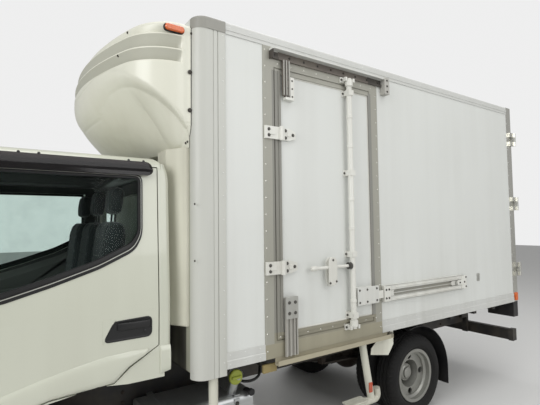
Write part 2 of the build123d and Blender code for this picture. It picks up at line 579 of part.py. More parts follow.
SIDE_ROD_X = 225
SIDE_ROD_Y = LEAF_OUTER_Y - 40
SIDE_ROD_RADIUS = 20
with BuildPart() as side_door_gear:
    # Lock rod with its guides, cams and keepers
    rod((SIDE_ROD_X, SIDE_ROD_Y, 903), (SIDE_ROD_X, SIDE_ROD_Y, 2726), SIDE_ROD_RADIUS)
    for guide_z in (996, 1433, 2024, 2618):
        slab((SIDE_ROD_X - 40, SIDE_ROD_X + 45), (LEAF_OUTER_Y - 6, LEAF_OUTER_Y), (guide_z - 24, guide_z + 24))
        slab((SIDE_ROD_X - 24, SIDE_ROD_X + 24), (SIDE_ROD_Y - 24, LEAF_OUTER_Y), (guide_z - 20, guide_z + 20))
    for cam_z, tip in ((2690, 1), (940, -1)):
        rod((SIDE_ROD_X, SIDE_ROD_Y, cam_z - 22), (SIDE_ROD_X, SIDE_ROD_Y, cam_z + 22), 29)
        keeper_z = cam_z + tip * 26
        slab((SIDE_ROD_X - 62, SIDE_ROD_X + 62), (FRAME_FACE_Y - 12, FRAME_FACE_Y), (keeper_z - 20, keeper_z + 20))
        for jaw_x in (SIDE_ROD_X - 46, SIDE_ROD_X + 30):
            slab((jaw_x, jaw_x + 16), (SIDE_ROD_Y - 16, FRAME_FACE_Y), (keeper_z - 14, keeper_z + 14))
    # Handle, its collar and its catch plate
    rod((-148, SIDE_ROD_Y, 1352), (SIDE_ROD_X, SIDE_ROD_Y, 1352), 11)
    rod((178, SIDE_ROD_Y, 1352), (204, SIDE_ROD_Y, 1352), 24)
    with BuildSketch(Plane.XZ.offset(-LEAF_OUTER_Y)) as section:
        with Locations((38, 1317)):
            SlotOverall(204, 82, rotation=90)
    extrude(section.sketch, amount=9)
    slab((18, 58), (SIDE_ROD_Y - 15, LEAF_OUTER_Y), (1330, 1374))
    # Strap hinges, one half on the frame and one on the leaf
    for plate_z in (1375, 2248):
        with BuildSketch(Plane.XZ.offset(-FRAME_FACE_Y)) as section:
            with BuildLine():
                Polyline((-514, plate_z + 41), (-402, plate_z + 41), (-402, plate_z - 41), (-514, plate_z - 41),
                         close=True)
            make_face()
        extrude(section.sketch, amount=14)
        rod((-388, FRAME_FACE_Y - 21, plate_z - 46), (-388, FRAME_FACE_Y - 21, plate_z + 46), 14)
        with BuildSketch(Plane.XZ.offset(-LEAF_OUTER_Y)) as section:
            with BuildLine():
                Polyline((-366, plate_z + 41), (-320, plate_z + 41), (-262, plate_z + 24), (-262, plate_z - 24),
                         (-320, plate_z - 41), (-366, plate_z - 41), close=True)
            make_face()
        extrude(section.sketch, amount=13)
        slab((-410, -360), (FRAME_FACE_Y - 18, FRAME_FACE_Y - 8), (plate_z - 41, plate_z + 41))
    # Upper hanger: a track arm and the plate that bolts it to the leaf
    slab((-372, -322), (FRAME_FACE_Y - 26, FRAME_FACE_Y - 8), (2500, 2740))
    slab((-356, -286), (LEAF_OUTER_Y - 34, LEAF_OUTER_Y), (2478, 2634))
    # Lower bracket: a ribbed channel standing on the lower rail
    slab((-376, -282), (FRAME_FACE_Y - 18, FRAME_FACE_Y - 12), (SKIRT_BOTTOM, 1184))
    for rib_x in (-376, -345, -313, -290):
        slab((rib_x, rib_x + 8), (FRAME_FACE_Y - 30, FRAME_FACE_Y - 12), (SKIRT_BOTTOM, 1184))
    slab((-368, -290), (FRAME_FACE_Y - 12, LEAF_OUTER_Y), (990, 1176))
    # Middle arm: plate on the leaf and the link that runs in the slotted rail
    slab((273, 452), (LEAF_OUTER_Y - 14, LEAF_OUTER_Y), (1050, 1180))
    slab((300, 560), (FRAME_FACE_Y - 26, FRAME_FACE_Y - 8), (1082, 1140))
side_door_gear.part.label = "side_door_gear"
export_step(side_door_gear.part, "parts/side_door_gear.step")

MID_RAIL_Z = (1045, 1170)
with BuildPart() as side_door_rails:
    # Top rail: a hood, a running bar and two end plates
    slab((-468, 622), (FRAME_FACE_Y - 46, FRAME_FACE_Y), (2795, 2803))
    slab((-468, 622), (FRAME_FACE_Y - 14, FRAME_FACE_Y), (2741, 2757))
    slab((-468, 622), (FRAME_FACE_Y - 4, FRAME_FACE_Y), (2741, 2803))
    slab((-468, -462), (FRAME_FACE_Y - 46, FRAME_FACE_Y), (2735, 2803))
    slab((616, 671), (FRAME_FACE_Y - 46, FRAME_FACE_Y + 5), (2681, 2813))
    # Slotted rail along the rear panel
    slab((DOOR_FRAME_REAR_X + 2, 1680), (-BOX_HALF_WIDTH - 27, -BOX_HALF_WIDTH), MID_RAIL_Z)
    with BuildSketch(Plane.XZ.offset(BOX_HALF_WIDTH + 27)) as section:
        with Locations(((DOOR_FRAME_REAR_X + 1680) / 2 + 40, 1108)):
            SlotOverall(960, 52)
    extrude(section.sketch, amount=-21, mode=Mode.SUBTRACT)
    slab((DOOR_FRAME_REAR_X + 2, 1680), (-BOX_HALF_WIDTH - 12, -BOX_HALF_WIDTH - 6), (1101, 1107))
    with BuildSketch(Plane.XZ.offset(BOX_HALF_WIDTH + 24)) as section:
        with Locations((1556, 1108)):
            SlotOverall(150, 40)
    extrude(section.sketch, amount=-24)
    # Lower rail: a channel on feet, with a round stop at its end
    slab((-440, 661), (FRAME_FACE_Y - 30, FRAME_FACE_Y + 10), (765, 771))
    slab((-440, 661), (FRAME_FACE_Y + 4, FRAME_FACE_Y + 10), (765, SKIRT_BOTTOM))
    slab((-440, 661), (FRAME_FACE_Y - 30, FRAME_FACE_Y - 25), (765, 795))
    rod((648, FRAME_FACE_Y - 10, 771), (648, FRAME_FACE_Y - 10, 805), 18)
side_door_rails.part.label = "side_door_rails"
export_step(side_door_rails.part, "parts/side_door_rails.step")

# Refrigeration unit: a plan outline and a side outline, each carried across, and what both share

front_radius = ((2 * UNIT_HALF_WIDTH * UNIT_CORNER_RADIUS - UNIT_HALF_WIDTH ** 2
                 - (UNIT_STRAIGHT_X - UNIT_FRONT_X) ** 2)
                / (2 * (UNIT_CORNER_RADIUS - (UNIT_STRAIGHT_X - UNIT_FRONT_X))))
front_centre_x = UNIT_FRONT_X + front_radius
corner_centre = (UNIT_STRAIGHT_X, UNIT_HALF_WIDTH - UNIT_CORNER_RADIUS)
blend = math.atan2(corner_centre[1], front_centre_x - corner_centre[0])


def unit_plan(inset):
    """The cowl seen from above, evenly inset: straight sides, round corners and a bowed front."""
    half = UNIT_HALF_WIDTH - inset
    corner = UNIT_CORNER_RADIUS - inset
    turn = (blend + math.pi / 2) / 2
    tangent = (corner_centre[0] - corner * math.cos(blend), corner_centre[1] + corner * math.sin(blend))
    halfway = (corner_centre[0] - corner * math.cos(turn), corner_centre[1] + corner * math.sin(turn))
    with BuildLine() as outline:
        Line((BOX_FRONT_X, half), (UNIT_STRAIGHT_X, half))
        ThreePointArc((UNIT_STRAIGHT_X, half), halfway, tangent)
        ThreePointArc(tangent, (UNIT_FRONT_X + inset, 0), (tangent[0], -tangent[1]))
        ThreePointArc((tangent[0], -tangent[1]), (halfway[0], -halfway[1]), (UNIT_STRAIGHT_X, -half))
        Line((UNIT_STRAIGHT_X, -half), (BOX_FRONT_X, -half))
        Line((BOX_FRONT_X, -half), (BOX_FRONT_X, half))
    return outline.line


def unit_layer(inset, z_span):
    """One upright layer of the cowl."""
    with BuildSketch(Plane.XY.offset(z_span[0])) as section:
        with BuildLine():
            add(unit_plan(inset))
        make_face()
    extrude(section.sketch, amount=z_span[1] - z_span[0])


# The body stacks its layers: chin, upper shell, and lips with channels between them
with BuildPart() as unit_lips:
    unit_layer(0, (UNIT_BOTTOM, 2606))
    unit_layer(12, (2606, 2622))
    unit_layer(26, (2622, 2680))
    unit_layer(8, (2680, 2696))
    unit_layer(34, (2696, 2764))
    unit_layer(16, (2764, UNIT_TOP))
with BuildPart() as unit_side_bands:
    # The strip beside the wall keeps its full width past the channels' ends
    slab((-1012, BOX_FRONT_X), (-UNIT_HALF_WIDTH, UNIT_HALF_WIDTH), (UNIT_BOTTOM, UNIT_TOP - 6))
with BuildPart() as unit_outline:
    with BuildSketch(Plane.XZ.offset(UNIT_HALF_WIDTH)) as section:
        with BuildLine():
            Polyline((BOX_FRONT_X, UNIT_TOP), (BOX_FRONT_X, UNIT_BOTTOM), (UNIT_FRONT_X, UNIT_BOTTOM),
                     (UNIT_FRONT_X, 2610))
            ThreePointArc((UNIT_FRONT_X, 2610), (-1416, 2745), (-1345, UNIT_TOP))
            Line((-1345, UNIT_TOP), (BOX_FRONT_X, UNIT_TOP))
        make_face()
    extrude(section.sketch, amount=-2 * UNIT_HALF_WIDTH)
# The cheeks and chin: plan sections that shrink towards the bottom, joined smoothly
# Height, half width, front, where the straight side ends, then the corner: its x and its reach inboard
CHIN_SECTIONS = ((2600, 884, -1446, -1040, -1322, 204), (2480, 880, -1436, -1036, -1286, 226),
                 (2360, 874, -1390, -1026, -1180, 236), (2240, 870, -1276, -1008, -1090, 236),
                 (2112, 866, -1092, -992, -1008, 230))
with BuildPart() as unit_chin:
    for section_z, half, front, straight, corner_x, reach in CHIN_SECTIONS:
        halfway_x = straight + (corner_x - straight) * 0.68
        halfway_y = half - reach * 0.34
        with BuildSketch(Plane.XY.offset(section_z)):
            with BuildLine():
                Line((BOX_FRONT_X, half), (straight, half))
                ThreePointArc((straight, half), (halfway_x, halfway_y), (corner_x, half - reach))
                ThreePointArc((corner_x, half - reach), (front, 0), (corner_x, reach - half))
                ThreePointArc((corner_x, reach - half), (halfway_x, -halfway_y), (straight, -half))
                Line((straight, -half), (BOX_FRONT_X, -half))
                Line((BOX_FRONT_X, -half), (BOX_FRONT_X, half))
            make_face()
    loft()
# Upper shell above the arched crease on each cheek
with BuildPart() as unit_shell:
    add(unit_lips.part)
    with BuildSketch(Plane.XZ.offset(UNIT_HALF_WIDTH)) as section:
        with BuildLine():
            Polyline((BOX_FRONT_X, UNIT_TOP + 5), (BOX_FRONT_X, UNIT_BOTTOM), (-1022, UNIT_BOTTOM), (-1027, 2266))
            ThreePointArc((-1027, 2266), (-1176, 2461), (-1345, 2572))
            Polyline((-1345, 2572), (-1500, 2552), (-1500, UNIT_TOP + 5), (BOX_FRONT_X, UNIT_TOP + 5))
        make_face()
    extrude(section.sketch, amount=-2 * UNIT_HALF_WIDTH, mode=Mode.INTERSECT)
with BuildPart() as refrigeration_unit:
    add(unit_chin.part)
    add(unit_shell.part)
    add(unit_side_bands.part)
    add(unit_outline.part, mode=Mode.INTERSECT)
refrigeration_unit.part.label = "refrigeration_unit"
export_step(refrigeration_unit.part, "parts/refrigeration_unit.step")

# Folded cover over the pipes between the unit and the frame
with BuildPart() as pipe_cover:
    with BuildSketch(Plane.XY.offset(1065)) as section:
        with BuildLine():
            Polyline((BOX_FRONT_X, -560), (-1072, -560), (-1076, -712), (-1058, -742), (-1000, -850),
                     (BOX_FRONT_X, -853), close=True)
        make_face()
    extrude(section.sketch, amount=UNIT_BOTTOM - 1065)
    chamfer(pipe_cover.faces().sort_by(Axis.Z)[0].edges().filter_by(lambda e: e.center().X < BOX_FRONT_X - 4), 8)
pipe_cover.part.label = "pipe_cover"
export_step(pipe_cover.part, "parts/pipe_cover.step")

EVAPORATOR_FRONT_X = BOX_FRONT_X + FRONT_WALL
with BuildPart() as evaporator:
    with BuildSketch(Plane.XZ.offset(600)) as section:
        with BuildLine():
            Polyline((EVAPORATOR_FRONT_X, 2540), (EVAPORATOR_FRONT_X + 300, 2560), (EVAPORATOR_FRONT_X + 480, 2610),
                     (EVAPORATOR_FRONT_X + 480, ROOF_BOTTOM), (EVAPORATOR_FRONT_X, ROOF_BOTTOM), close=True)
        make_face()
    extrude(section.sketch, amount=-1200)
    for fan_y in (-380, 0, 380):
        rod((EVAPORATOR_FRONT_X + 420, fan_y, 2712), (EVAPORATOR_FRONT_X + 481, fan_y, 2712), 90, mode=Mode.SUBTRACT)
        rod((EVAPORATOR_FRONT_X + 410, fan_y, 2712), (EVAPORATOR_FRONT_X + 470, fan_y, 2712), 32)
evaporator.part.label = "evaporator"
export_step(evaporator.part, "parts/evaporator.step")

# Rear doors

for side_name, side in SIDES:
    leaf_y = mirrored(3, BOX_HALF_WIDTH - PORTAL_POST - LEAF_GAP, side)
    leaf_back_x = BOX_REAR_X + REAR_LEAF_PROUD
    with BuildPart() as rear_door:
        slab((leaf_back_x - REAR_LEAF_THICKNESS, leaf_back_x), leaf_y,
             (FLOOR_TOP + LEAF_GAP, PORTAL_HEAD_BOTTOM - LEAF_GAP))
    rear_door.part.label = f"rear_door_{side_name}"
    export_step(rear_door.part, f"parts/rear_door_{side_name}.step")
    with BuildPart() as rear_gear:
        for hinge_z in (1150, 1850, 2550):
            slab((leaf_back_x, leaf_back_x + 10), mirrored(690, HINGE_AXIS_Y - 14, side), (hinge_z - 24, hinge_z + 24))
            rod((HINGE_AXIS_X, side * HINGE_AXIS_Y, hinge_z - 24), (HINGE_AXIS_X, side * HINGE_AXIS_Y, hinge_z + 24), 13)
            slab((leaf_back_x, HINGE_AXIS_X), mirrored(HINGE_AXIS_Y - 26, HINGE_AXIS_Y - 2, side),
                 (hinge_z - 24, hinge_z + 24))
            rod((HINGE_AXIS_X, side * HINGE_AXIS_Y, hinge_z - 30), (HINGE_AXIS_X, side * HINGE_AXIS_Y, hinge_z + 30),
                6 + RUNNING_GAP, mode=Mode.SUBTRACT)
        rod_y = side * 130
        rod((leaf_back_x + 30, rod_y, FLOOR_TOP + 12), (leaf_back_x + 30, rod_y, PORTAL_HEAD_BOTTOM - 12),
            ROD_RADIUS)
        for guide_z in (1080, 1700, 2300, 2660):
            slab((leaf_back_x, leaf_back_x + 20), mirrored(100, 160, side), (guide_z - 22, guide_z + 22))
        # Lever on the lock rod and the catch that holds its end
        slab((leaf_back_x + 24, leaf_back_x + 38), mirrored(140, 470, side), (1368, 1396))
        slab((leaf_back_x, leaf_back_x + 44), mirrored(405, 445, side), (1346, 1362))
        slab((leaf_back_x, leaf_back_x + 8), mirrored(385, 465, side), (1330, 1430))
        slab((leaf_back_x, leaf_back_x + 24), mirrored(418, 432, side), (1362, 1372))
    rear_gear.part.label = f"rear_door_gear_{side_name}"
    export_step(rear_gear.part, f"parts/rear_door_gear_{side_name}.step")

# Cab: one outer form and one hollow, cut apart where the real panels meet


def cab_solid(inset_side, inset_front, inset_back, inset_top, inset_bottom):
    """The cab's outline from the side, the front and above, and what all three share."""
    front = CAB_FRONT_X + inset_front
    back = CAB_BACK_X - inset_back
    top = CAB_TOP - inset_top
    half = CAB_HALF_WIDTH - inset_side
    low = CAB_BOTTOM + inset_bottom
    with BuildPart() as form:
        with BuildSketch(Plane.XZ.offset(half)):
            with BuildLine():
                Line((front, low), (front, 900))
                ThreePointArc((front, 900), (front + 4, 1070), (SCREEN_BASE_X + inset_front, SCREEN_BASE_Z))
                Line((SCREEN_BASE_X + inset_front, SCREEN_BASE_Z), (SCREEN_TOP_X + inset_front, SCREEN_TOP_Z))
                ThreePointArc((SCREEN_TOP_X + inset_front, SCREEN_TOP_Z), (-2200 + inset_front / 2, top - 24),
                              (-2040, top))
                Line((-2040, top), (back - 75, top - 4))
                ThreePointArc((back - 75, top - 4), (back - 22, top - 26), (back, top - 79))
                Line((back, top - 79), (back, low))
                Line((back, low), (front, low))
            make_face()
        extrude(amount=-2 * half)
        with BuildSketch(Plane.YZ.offset(CAB_FRONT_X - 50)):
            with BuildLine():
                Polyline((half - 42, top - 90), (half, WAIST_Z), (half, low - 1), (-half, low - 1),
                         (-half, WAIST_Z), (-half + 42, top - 90))
                ThreePointArc((-half + 42, top - 90), (-half + 72, top - 34), (-half + 130, top - 8))
                ThreePointArc((-half + 130, top - 8), (0, top + 6), (half - 130, top - 8))
                ThreePointArc((half - 130, top - 8), (half - 72, top - 34), (half - 42, top - 90))
            make_face()
        extrude(amount=1800, mode=Mode.INTERSECT)
        with BuildSketch(Plane.XY.offset(CAB_BOTTOM - 50)):
            with BuildLine():
                ThreePointArc((front + 60, -half + 150), (front - 1, 0), (front + 60, half - 150))
                ThreePointArc((front + 60, half - 150), (front + 120, half - 40), (front + 230, half))
                Line((front + 230, half), (back, half))
                Line((back, half), (back, -half))
                Line((back, -half), (front + 230, -half))
                ThreePointArc((front + 230, -half), (front + 120, -half + 40), (front + 60, -half + 150))
            make_face()
        extrude(amount=1700, mode=Mode.INTERSECT)
    return form.part


cab_outer = cab_solid(0, 0, 0, 0, 0)
cab_hollow = cab_solid(CAB_SIDE_WALL, CAB_SIDE_WALL, CAB_SKIN, CAB_SKIN, -10)
with BuildPart() as glass_layer:
    add(cab_solid(GLASS_INSET, GLASS_INSET, GLASS_INSET, GLASS_INSET, -10))
    add(cab_solid(GLASS_INSET + GLASS, GLASS_INSET + GLASS, GLASS_INSET + GLASS, GLASS_INSET + GLASS, -20),
        mode=Mode.SUBTRACT)


def door_outline(grow):
    """The door opening seen from the side; grow widens it evenly."""
    with BuildLine() as outline:
        Polyline(
            (-2425 - grow, DOOR_BOTTOM - grow), (DOOR_HINGE_X - grow, 705 - grow), (DOOR_HINGE_X - grow, 1400),
            (-2262 - grow, DOOR_TOP + grow), (DOOR_REAR_X + grow, DOOR_TOP + grow),
            (DOOR_REAR_X + grow, 994 - grow / 2), (-1325 + grow, 905 - grow), (-1400, 838 - grow),
            (-1700, 821 - grow), (-1880, 780 - grow), (-2010, 700 - grow), (-2100, DOOR_BOTTOM - grow), close=True)
    return outline


with BuildSketch(Plane.XZ) as door_shape:
    with BuildLine():
        add(door_outline(0).line)
    make_face()
with BuildSketch(Plane.XZ) as door_hole_shape:
    with BuildLine():
        add(door_outline(CAB_DOOR_GAP).line)
    make_face()
WINDOW_POINTS = ((-1255, 1935), (-1258, 1603), (-1298, 1523), (-1477, 1438), (-1705, 1362), (-1907, 1304),
                 (-2420, 1215), (-2420, 1330), (-2215, 1935))
with BuildSketch(Plane.XZ) as window_shape:
    with BuildLine():
        Polyline(*WINDOW_POINTS, close=True)
    make_face()

# Everything of the shell below this line in front of the wheel, and behind it above the arch
with BuildPart() as under_arch:
    with BuildSketch(Plane.XZ.offset(1000)):
        with BuildLine():
            Polyline((-1000, 500), (-1000, 815), (-1330, 817), (-1480, 835), (-1700, 806), (-1880, 765),
                     (-2010, 680), (-2115, CAB_BOTTOM), (-2115, 500), close=True)
        make_face()
        with BuildLine():
            Polyline((-2900, 500), (CAB_NOSE_REAR_X, 500), (CAB_NOSE_REAR_X, 612), (-2520, CAB_NOSE_BOTTOM),
                     (-2900, CAB_NOSE_BOTTOM), close=True)
        make_face()
    extrude(amount=-2000)

with BuildPart() as cab_shell:
    add(cab_outer)
    add(cab_hollow, mode=Mode.SUBTRACT)
    add(under_arch.part, mode=Mode.SUBTRACT)
with BuildPart() as door_openings:
    for side_name, side in SIDES:
        with BuildSketch(Plane.XZ.offset(900 if side < 0 else -700)):
            add(door_hole_shape.sketch)
        extrude(amount=-200)

ROOF_SPLIT = 1992
FRONT_SPLIT_X = -2506
with BuildPart() as cab_roof:
    add(cab_shell.part)
    slab((-2345, CAB_BACK_X + 10), (-900, 900), (ROOF_SPLIT, 2200), mode=Mode.INTERSECT)
cab_roof.part.label = "cab_roof"
export_step(cab_roof.part, "parts/cab_roof.step")

with BuildPart() as cab_back_panel:
    add(cab_shell.part)
    slab((CAB_BACK_X - CAB_SKIN, CAB_BACK_X + 10), (-900, 900), (400, ROOF_SPLIT), mode=Mode.INTERSECT)
    slab((CAB_BACK_X - CAB_SKIN - 1, CAB_BACK_X + 11), (-560, 560), (1480, 1860), mode=Mode.SUBTRACT)
    add(door_openings.part, mode=Mode.SUBTRACT)
cab_back_panel.part.label = "cab_back_panel"
export_step(cab_back_panel.part, "parts/cab_back_panel.step")

WINDSCREEN_POINTS = ((-735, 1290), (735, 1290), (690, 1915), (-690, 1915))
LAMP_CENTRE = (628, 812)
LAMP_SIZE = (300, 150)
LAMP_BACK_X = -2640
with BuildPart() as front_region:
    with BuildSketch(Plane.XZ.offset(900)):
        with BuildLine():
            Polyline((-2900, 400), (FRONT_SPLIT_X, 400), (FRONT_SPLIT_X, 1397), (-2262, ROOF_SPLIT),
                     (-2345, ROOF_SPLIT), (-2345, 2200), (-2900, 2200), close=True)
        make_face()
    extrude(amount=-1800)
with BuildPart() as lamp_space:
    for side_name, side in SIDES:
        with BuildSketch(Plane.YZ.offset(-2900)) as section:
            with Locations((side * LAMP_CENTRE[0], LAMP_CENTRE[1])):
                RectangleRounded(*LAMP_SIZE, 34)
        extrude(section.sketch, amount=LAMP_BACK_X + 2900)
with BuildPart() as cab_front_panel:
    add(cab_shell.part)
    add(front_region.part, mode=Mode.INTERSECT)
    add(door_openings.part, mode=Mode.SUBTRACT)
    with BuildSketch(Plane.YZ.offset(-2900)):
        with BuildLine():
            Polyline(*WINDSCREEN_POINTS, close=True)
        make_face()
    extrude(amount=800, mode=Mode.SUBTRACT)
    add(lamp_space.part, mode=Mode.SUBTRACT)
    # Grille slots
    with BuildSketch(Plane.YZ.offset(-2900)) as section:
        for slot_z, slot_width in ((742, 700), (782, 740), (822, 780), (862, 820)):
            with Locations((0, slot_z)):
                SlotOverall(slot_width, 24)
    extrude(section.sketch, amount=250, mode=Mode.SUBTRACT)
    for side_name, side in SIDES:
        for pin_span in DOOR_PIN_SPANS:
            rod((DOOR_PIN_X, side * DOOR_PIN_Y, pin_span[0]), (DOOR_PIN_X, side * DOOR_PIN_Y, pin_span[1]),
                DOOR_PIN_RADIUS)
            slab((DOOR_PIN_X - 14, DOOR_PIN_X - 2), mirrored(DOOR_PIN_Y - 18, DOOR_PIN_Y, side), pin_span)
cab_front_panel.part.label = "cab_front_panel"
export_step(cab_front_panel.part, "parts/cab_front_panel.step")

with BuildPart() as cab_side_frames:
    add(cab_shell.part)
    add(front_region.part, mode=Mode.SUBTRACT)
    slab((-2900, CAB_BACK_X - CAB_SKIN), (-900, 900), (400, ROOF_SPLIT), mode=Mode.INTERSECT)
    add(door_openings.part, mode=Mode.SUBTRACT)
cab_side_frames.part.label = "cab_side_frames"
export_step(cab_side_frames.part, "parts/cab_side_frames.step")

with BuildPart() as cab_floor:
    with BuildSketch(Plane.XZ.offset(CAB_HALF_WIDTH - CAB_SIDE_WALL - 6)):
        with BuildLine():
            Polyline((-2632, 750), (-2080, 750), (-2010, CAB_FLOOR_UNDER), (CAB_BACK_X - CAB_SKIN, CAB_FLOOR_UNDER),
                     (CAB_BACK_X - CAB_SKIN, 975), (-2045, 975), (-2115, 795), (-2632, 795), close=True)
        make_face()
    extrude(amount=-2 * (CAB_HALF_WIDTH - CAB_SIDE_WALL - 6))
    add(cab_hollow, mode=Mode.INTERSECT)
    for side_name, side in SIDES:
        with BuildSketch(Plane.XZ.offset(395 if side < 0 else -380)):
            with BuildLine():
                Polyline((PIVOT_X - 45, 750), (PIVOT_X + 60, 750), (PIVOT_X + 35, PIVOT_Z), (PIVOT_X, PIVOT_Z - 35),
                         (PIVOT_X - 35, PIVOT_Z), close=True)
            make_face()
            with Locations((PIVOT_X, PIVOT_Z)):
                Circle(PIVOT_RADIUS + RUNNING_GAP, mode=Mode.SUBTRACT)
        extrude(amount=15 if side < 0 else -15)
cab_floor.part.label = "cab_floor"
export_step(cab_floor.part, "parts/cab_floor.step")

with BuildPart() as cab_glass:
    add(glass_layer.part)
    with BuildSketch(Plane.YZ.offset(-2900)):
        with BuildLine():
            Polyline(*WINDSCREEN_POINTS, close=True)
        make_face()
    extrude(amount=800, mode=Mode.INTERSECT)
    slab((CAB_BACK_X - 30, CAB_BACK_X - 30 + GLASS), (-560, 560), (1480, 1860))
cab_glass.part.label = "cab_glass"
export_step(cab_glass.part, "parts/cab_glass.step")

COLUMN_END = (-2290, 400, 1262)
COLUMN_AXIS = Vector(110, 0, 42).normalized()
with BuildPart() as dashboard:
    with BuildSketch(Plane.XZ.offset(740)):
        with BuildLine():
            Polyline((-2720, 1000), (-2400, 1000), (-2330, 1180), (-2350, 1270), (-2460, 1290), (-2720, 1270),
                     close=True)
        make_face()
    extrude(amount=-1480)
    add(cab_hollow, mode=Mode.INTERSECT)
    rod((-2400, 400, 1220), COLUMN_END, 30)
dashboard.part.label = "dashboard"
export_step(dashboard.part, "parts/dashboard.step")

SEATS = ((400, 460), (-60, 400), (-500, 440))
with BuildPart() as seats:
    for centre_y, width in SEATS:
        with BuildSketch(Plane.XZ.offset(-centre_y + width / 2)) as section:
            with BuildLine():
                Line((-1330, 975), (-1860, 975))
                ThreePointArc((-1860, 975), (-1884, 1050), (-1850, 1126))
                Line((-1850, 1126), (-1430, 1108))
                Line((-1430, 1108), (-1368, 1690))
                ThreePointArc((-1368, 1690), (-1322, 1724), (-1288, 1685))
                Line((-1288, 1685), (-1280, 1300))
                Line((-1280, 1300), (-1330, 975))
            make_face()
        extrude(section.sketch, amount=-width)
        with BuildSketch(Plane.XZ.offset(-centre_y + 105)) as section:
            with Locations((-1322, 1825)):
                RectangleRounded(84, 150, 32)
        extrude(section.sketch, amount=-210)
        rod((-1322, centre_y - 50, 1700), (-1322, centre_y - 50, 1770), 7)
        rod((-1322, centre_y + 50, 1700), (-1322, centre_y + 50, 1770), 7)
seats.part.label = "seats"
export_step(seats.part, "parts/seats.step")

with BuildPart() as headlamps:
    add(cab_outer)
    add(lamp_space.part, mode=Mode.INTERSECT)
headlamps.part.label = "headlamps"
export_step(headlamps.part, "parts/headlamps.step")

with BuildPart() as mirrors:
    for side_name, side in SIDES:
        pad_y = CAB_HALF_WIDTH + RUNNING_GAP
        slab((-2546, -2512), mirrored(pad_y, pad_y + 12, side), (1090, WAIST_Z))
        for arm_z in (1110, 1175):
            rod((-2530, side * (pad_y + 14), arm_z), (-2672, side * 962, arm_z + 220), 11)
        rod((-2672, side * 962, 1290), (-2672, side * 962, 1660), 12)
        with BuildSketch(Plane.YZ.offset(-2700)) as section:
            with Locations((side * 1010, 1490)):
                RectangleRounded(170, 300, 34)
            with Locations((side * 1010, 1715)):
                RectangleRounded(160, 110, 34)
        extrude(section.sketch, amount=52)
        slab((-2690, -2660), mirrored(950, 975, side), (1600, 1700))
    add(cab_outer, mode=Mode.SUBTRACT)
mirrors.part.label = "mirrors"
export_step(mirrors.part, "parts/mirrors.step")

with BuildPart() as steering_wheel:
    rim_plane = Plane(origin=Vector(*COLUMN_END) + COLUMN_AXIS * 30, z_dir=COLUMN_AXIS)
    with Locations(rim_plane):
        Torus(200, 14)
    rod(Vector(*COLUMN_END) + COLUMN_AXIS * RUNNING_GAP, Vector(*COLUMN_END) + COLUMN_AXIS * 34, 52)
    with BuildSketch(Plane(origin=Vector(*COLUMN_END) + COLUMN_AXIS * 14, z_dir=COLUMN_AXIS)) as section:
        for spoke_angle in (0, 90, 180):
            with Locations(Rotation(0, 0, spoke_angle)):
                with Locations((120, 0)):
                    RectangleRounded(160, 34, 8)
    extrude(section.sketch, amount=14)
steering_wheel.part.label = "steering_wheel"
export_step(steering_wheel.part, "parts/steering_wheel.step")

for side_name, side in SIDES:
    with BuildPart() as cab_door:
        add(cab_shell.part)
        with BuildSketch(Plane.XZ.offset(900 if side < 0 else -700)):
            add(door_shape.sketch)
        extrude(amount=-200, mode=Mode.INTERSECT)
        with BuildSketch(Plane.XZ.offset(900 if side < 0 else -700)):
            add(window_shape.sketch)
        extrude(amount=-200, mode=Mode.SUBTRACT)
        for pin_low, pin_high in DOOR_PIN_SPANS:
            rod((DOOR_PIN_X, side * DOOR_PIN_Y, pin_low - 5), (DOOR_PIN_X, side * DOOR_PIN_Y, pin_high + 5),
                DOOR_PIN_RADIUS + RUNNING_GAP, mode=Mode.SUBTRACT)
            slab((DOOR_PIN_X - 20, DOOR_PIN_X + 2), mirrored(DOOR_PIN_Y - 26, DOOR_PIN_Y + 10, side),
                 (pin_low - 5, pin_high + 5), mode=Mode.SUBTRACT)
        # Handle: a shallow cup with a pull bar across it
        with BuildSketch(Plane.XZ.offset(-side * (CAB_HALF_WIDTH + 5))) as section:
            with Locations((HANDLE_X, HANDLE_Z)):
                RectangleRounded(240, 98, 40)
        extrude(section.sketch, amount=side * 27, mode=Mode.SUBTRACT)
        slab((HANDLE_X - 110, HANDLE_X + 40), mirrored(CAB_HALF_WIDTH - 12, CAB_HALF_WIDTH + 1, side),
             (HANDLE_Z + 2, HANDLE_Z + 34))
        slab((HANDLE_X + 30, HANDLE_X + 112), mirrored(CAB_HALF_WIDTH - 23, CAB_HALF_WIDTH + 1, side),
             (HANDLE_Z - 6, HANDLE_Z + 36))
        slab((HANDLE_X - 112, HANDLE_X - 90), mirrored(CAB_HALF_WIDTH - 23, CAB_HALF_WIDTH + 1, side),
             (HANDLE_Z + 2, HANDLE_Z + 34))
    cab_door.part.label = f"cab_door_{side_name}"
    export_step(cab_door.part, f"parts/cab_door_{side_name}.step")
    with BuildPart() as door_glass:
        add(glass_layer.part)
        with BuildSketch(Plane.XZ.offset(900 if side < 0 else -700)):
            add(window_shape.sketch)
        extrude(amount=-200, mode=Mode.INTERSECT)
    door_glass.part.label = f"door_glass_{side_name}"
    export_step(door_glass.part, f"parts/door_glass_{side_name}.step")

# Knuckles and wheels

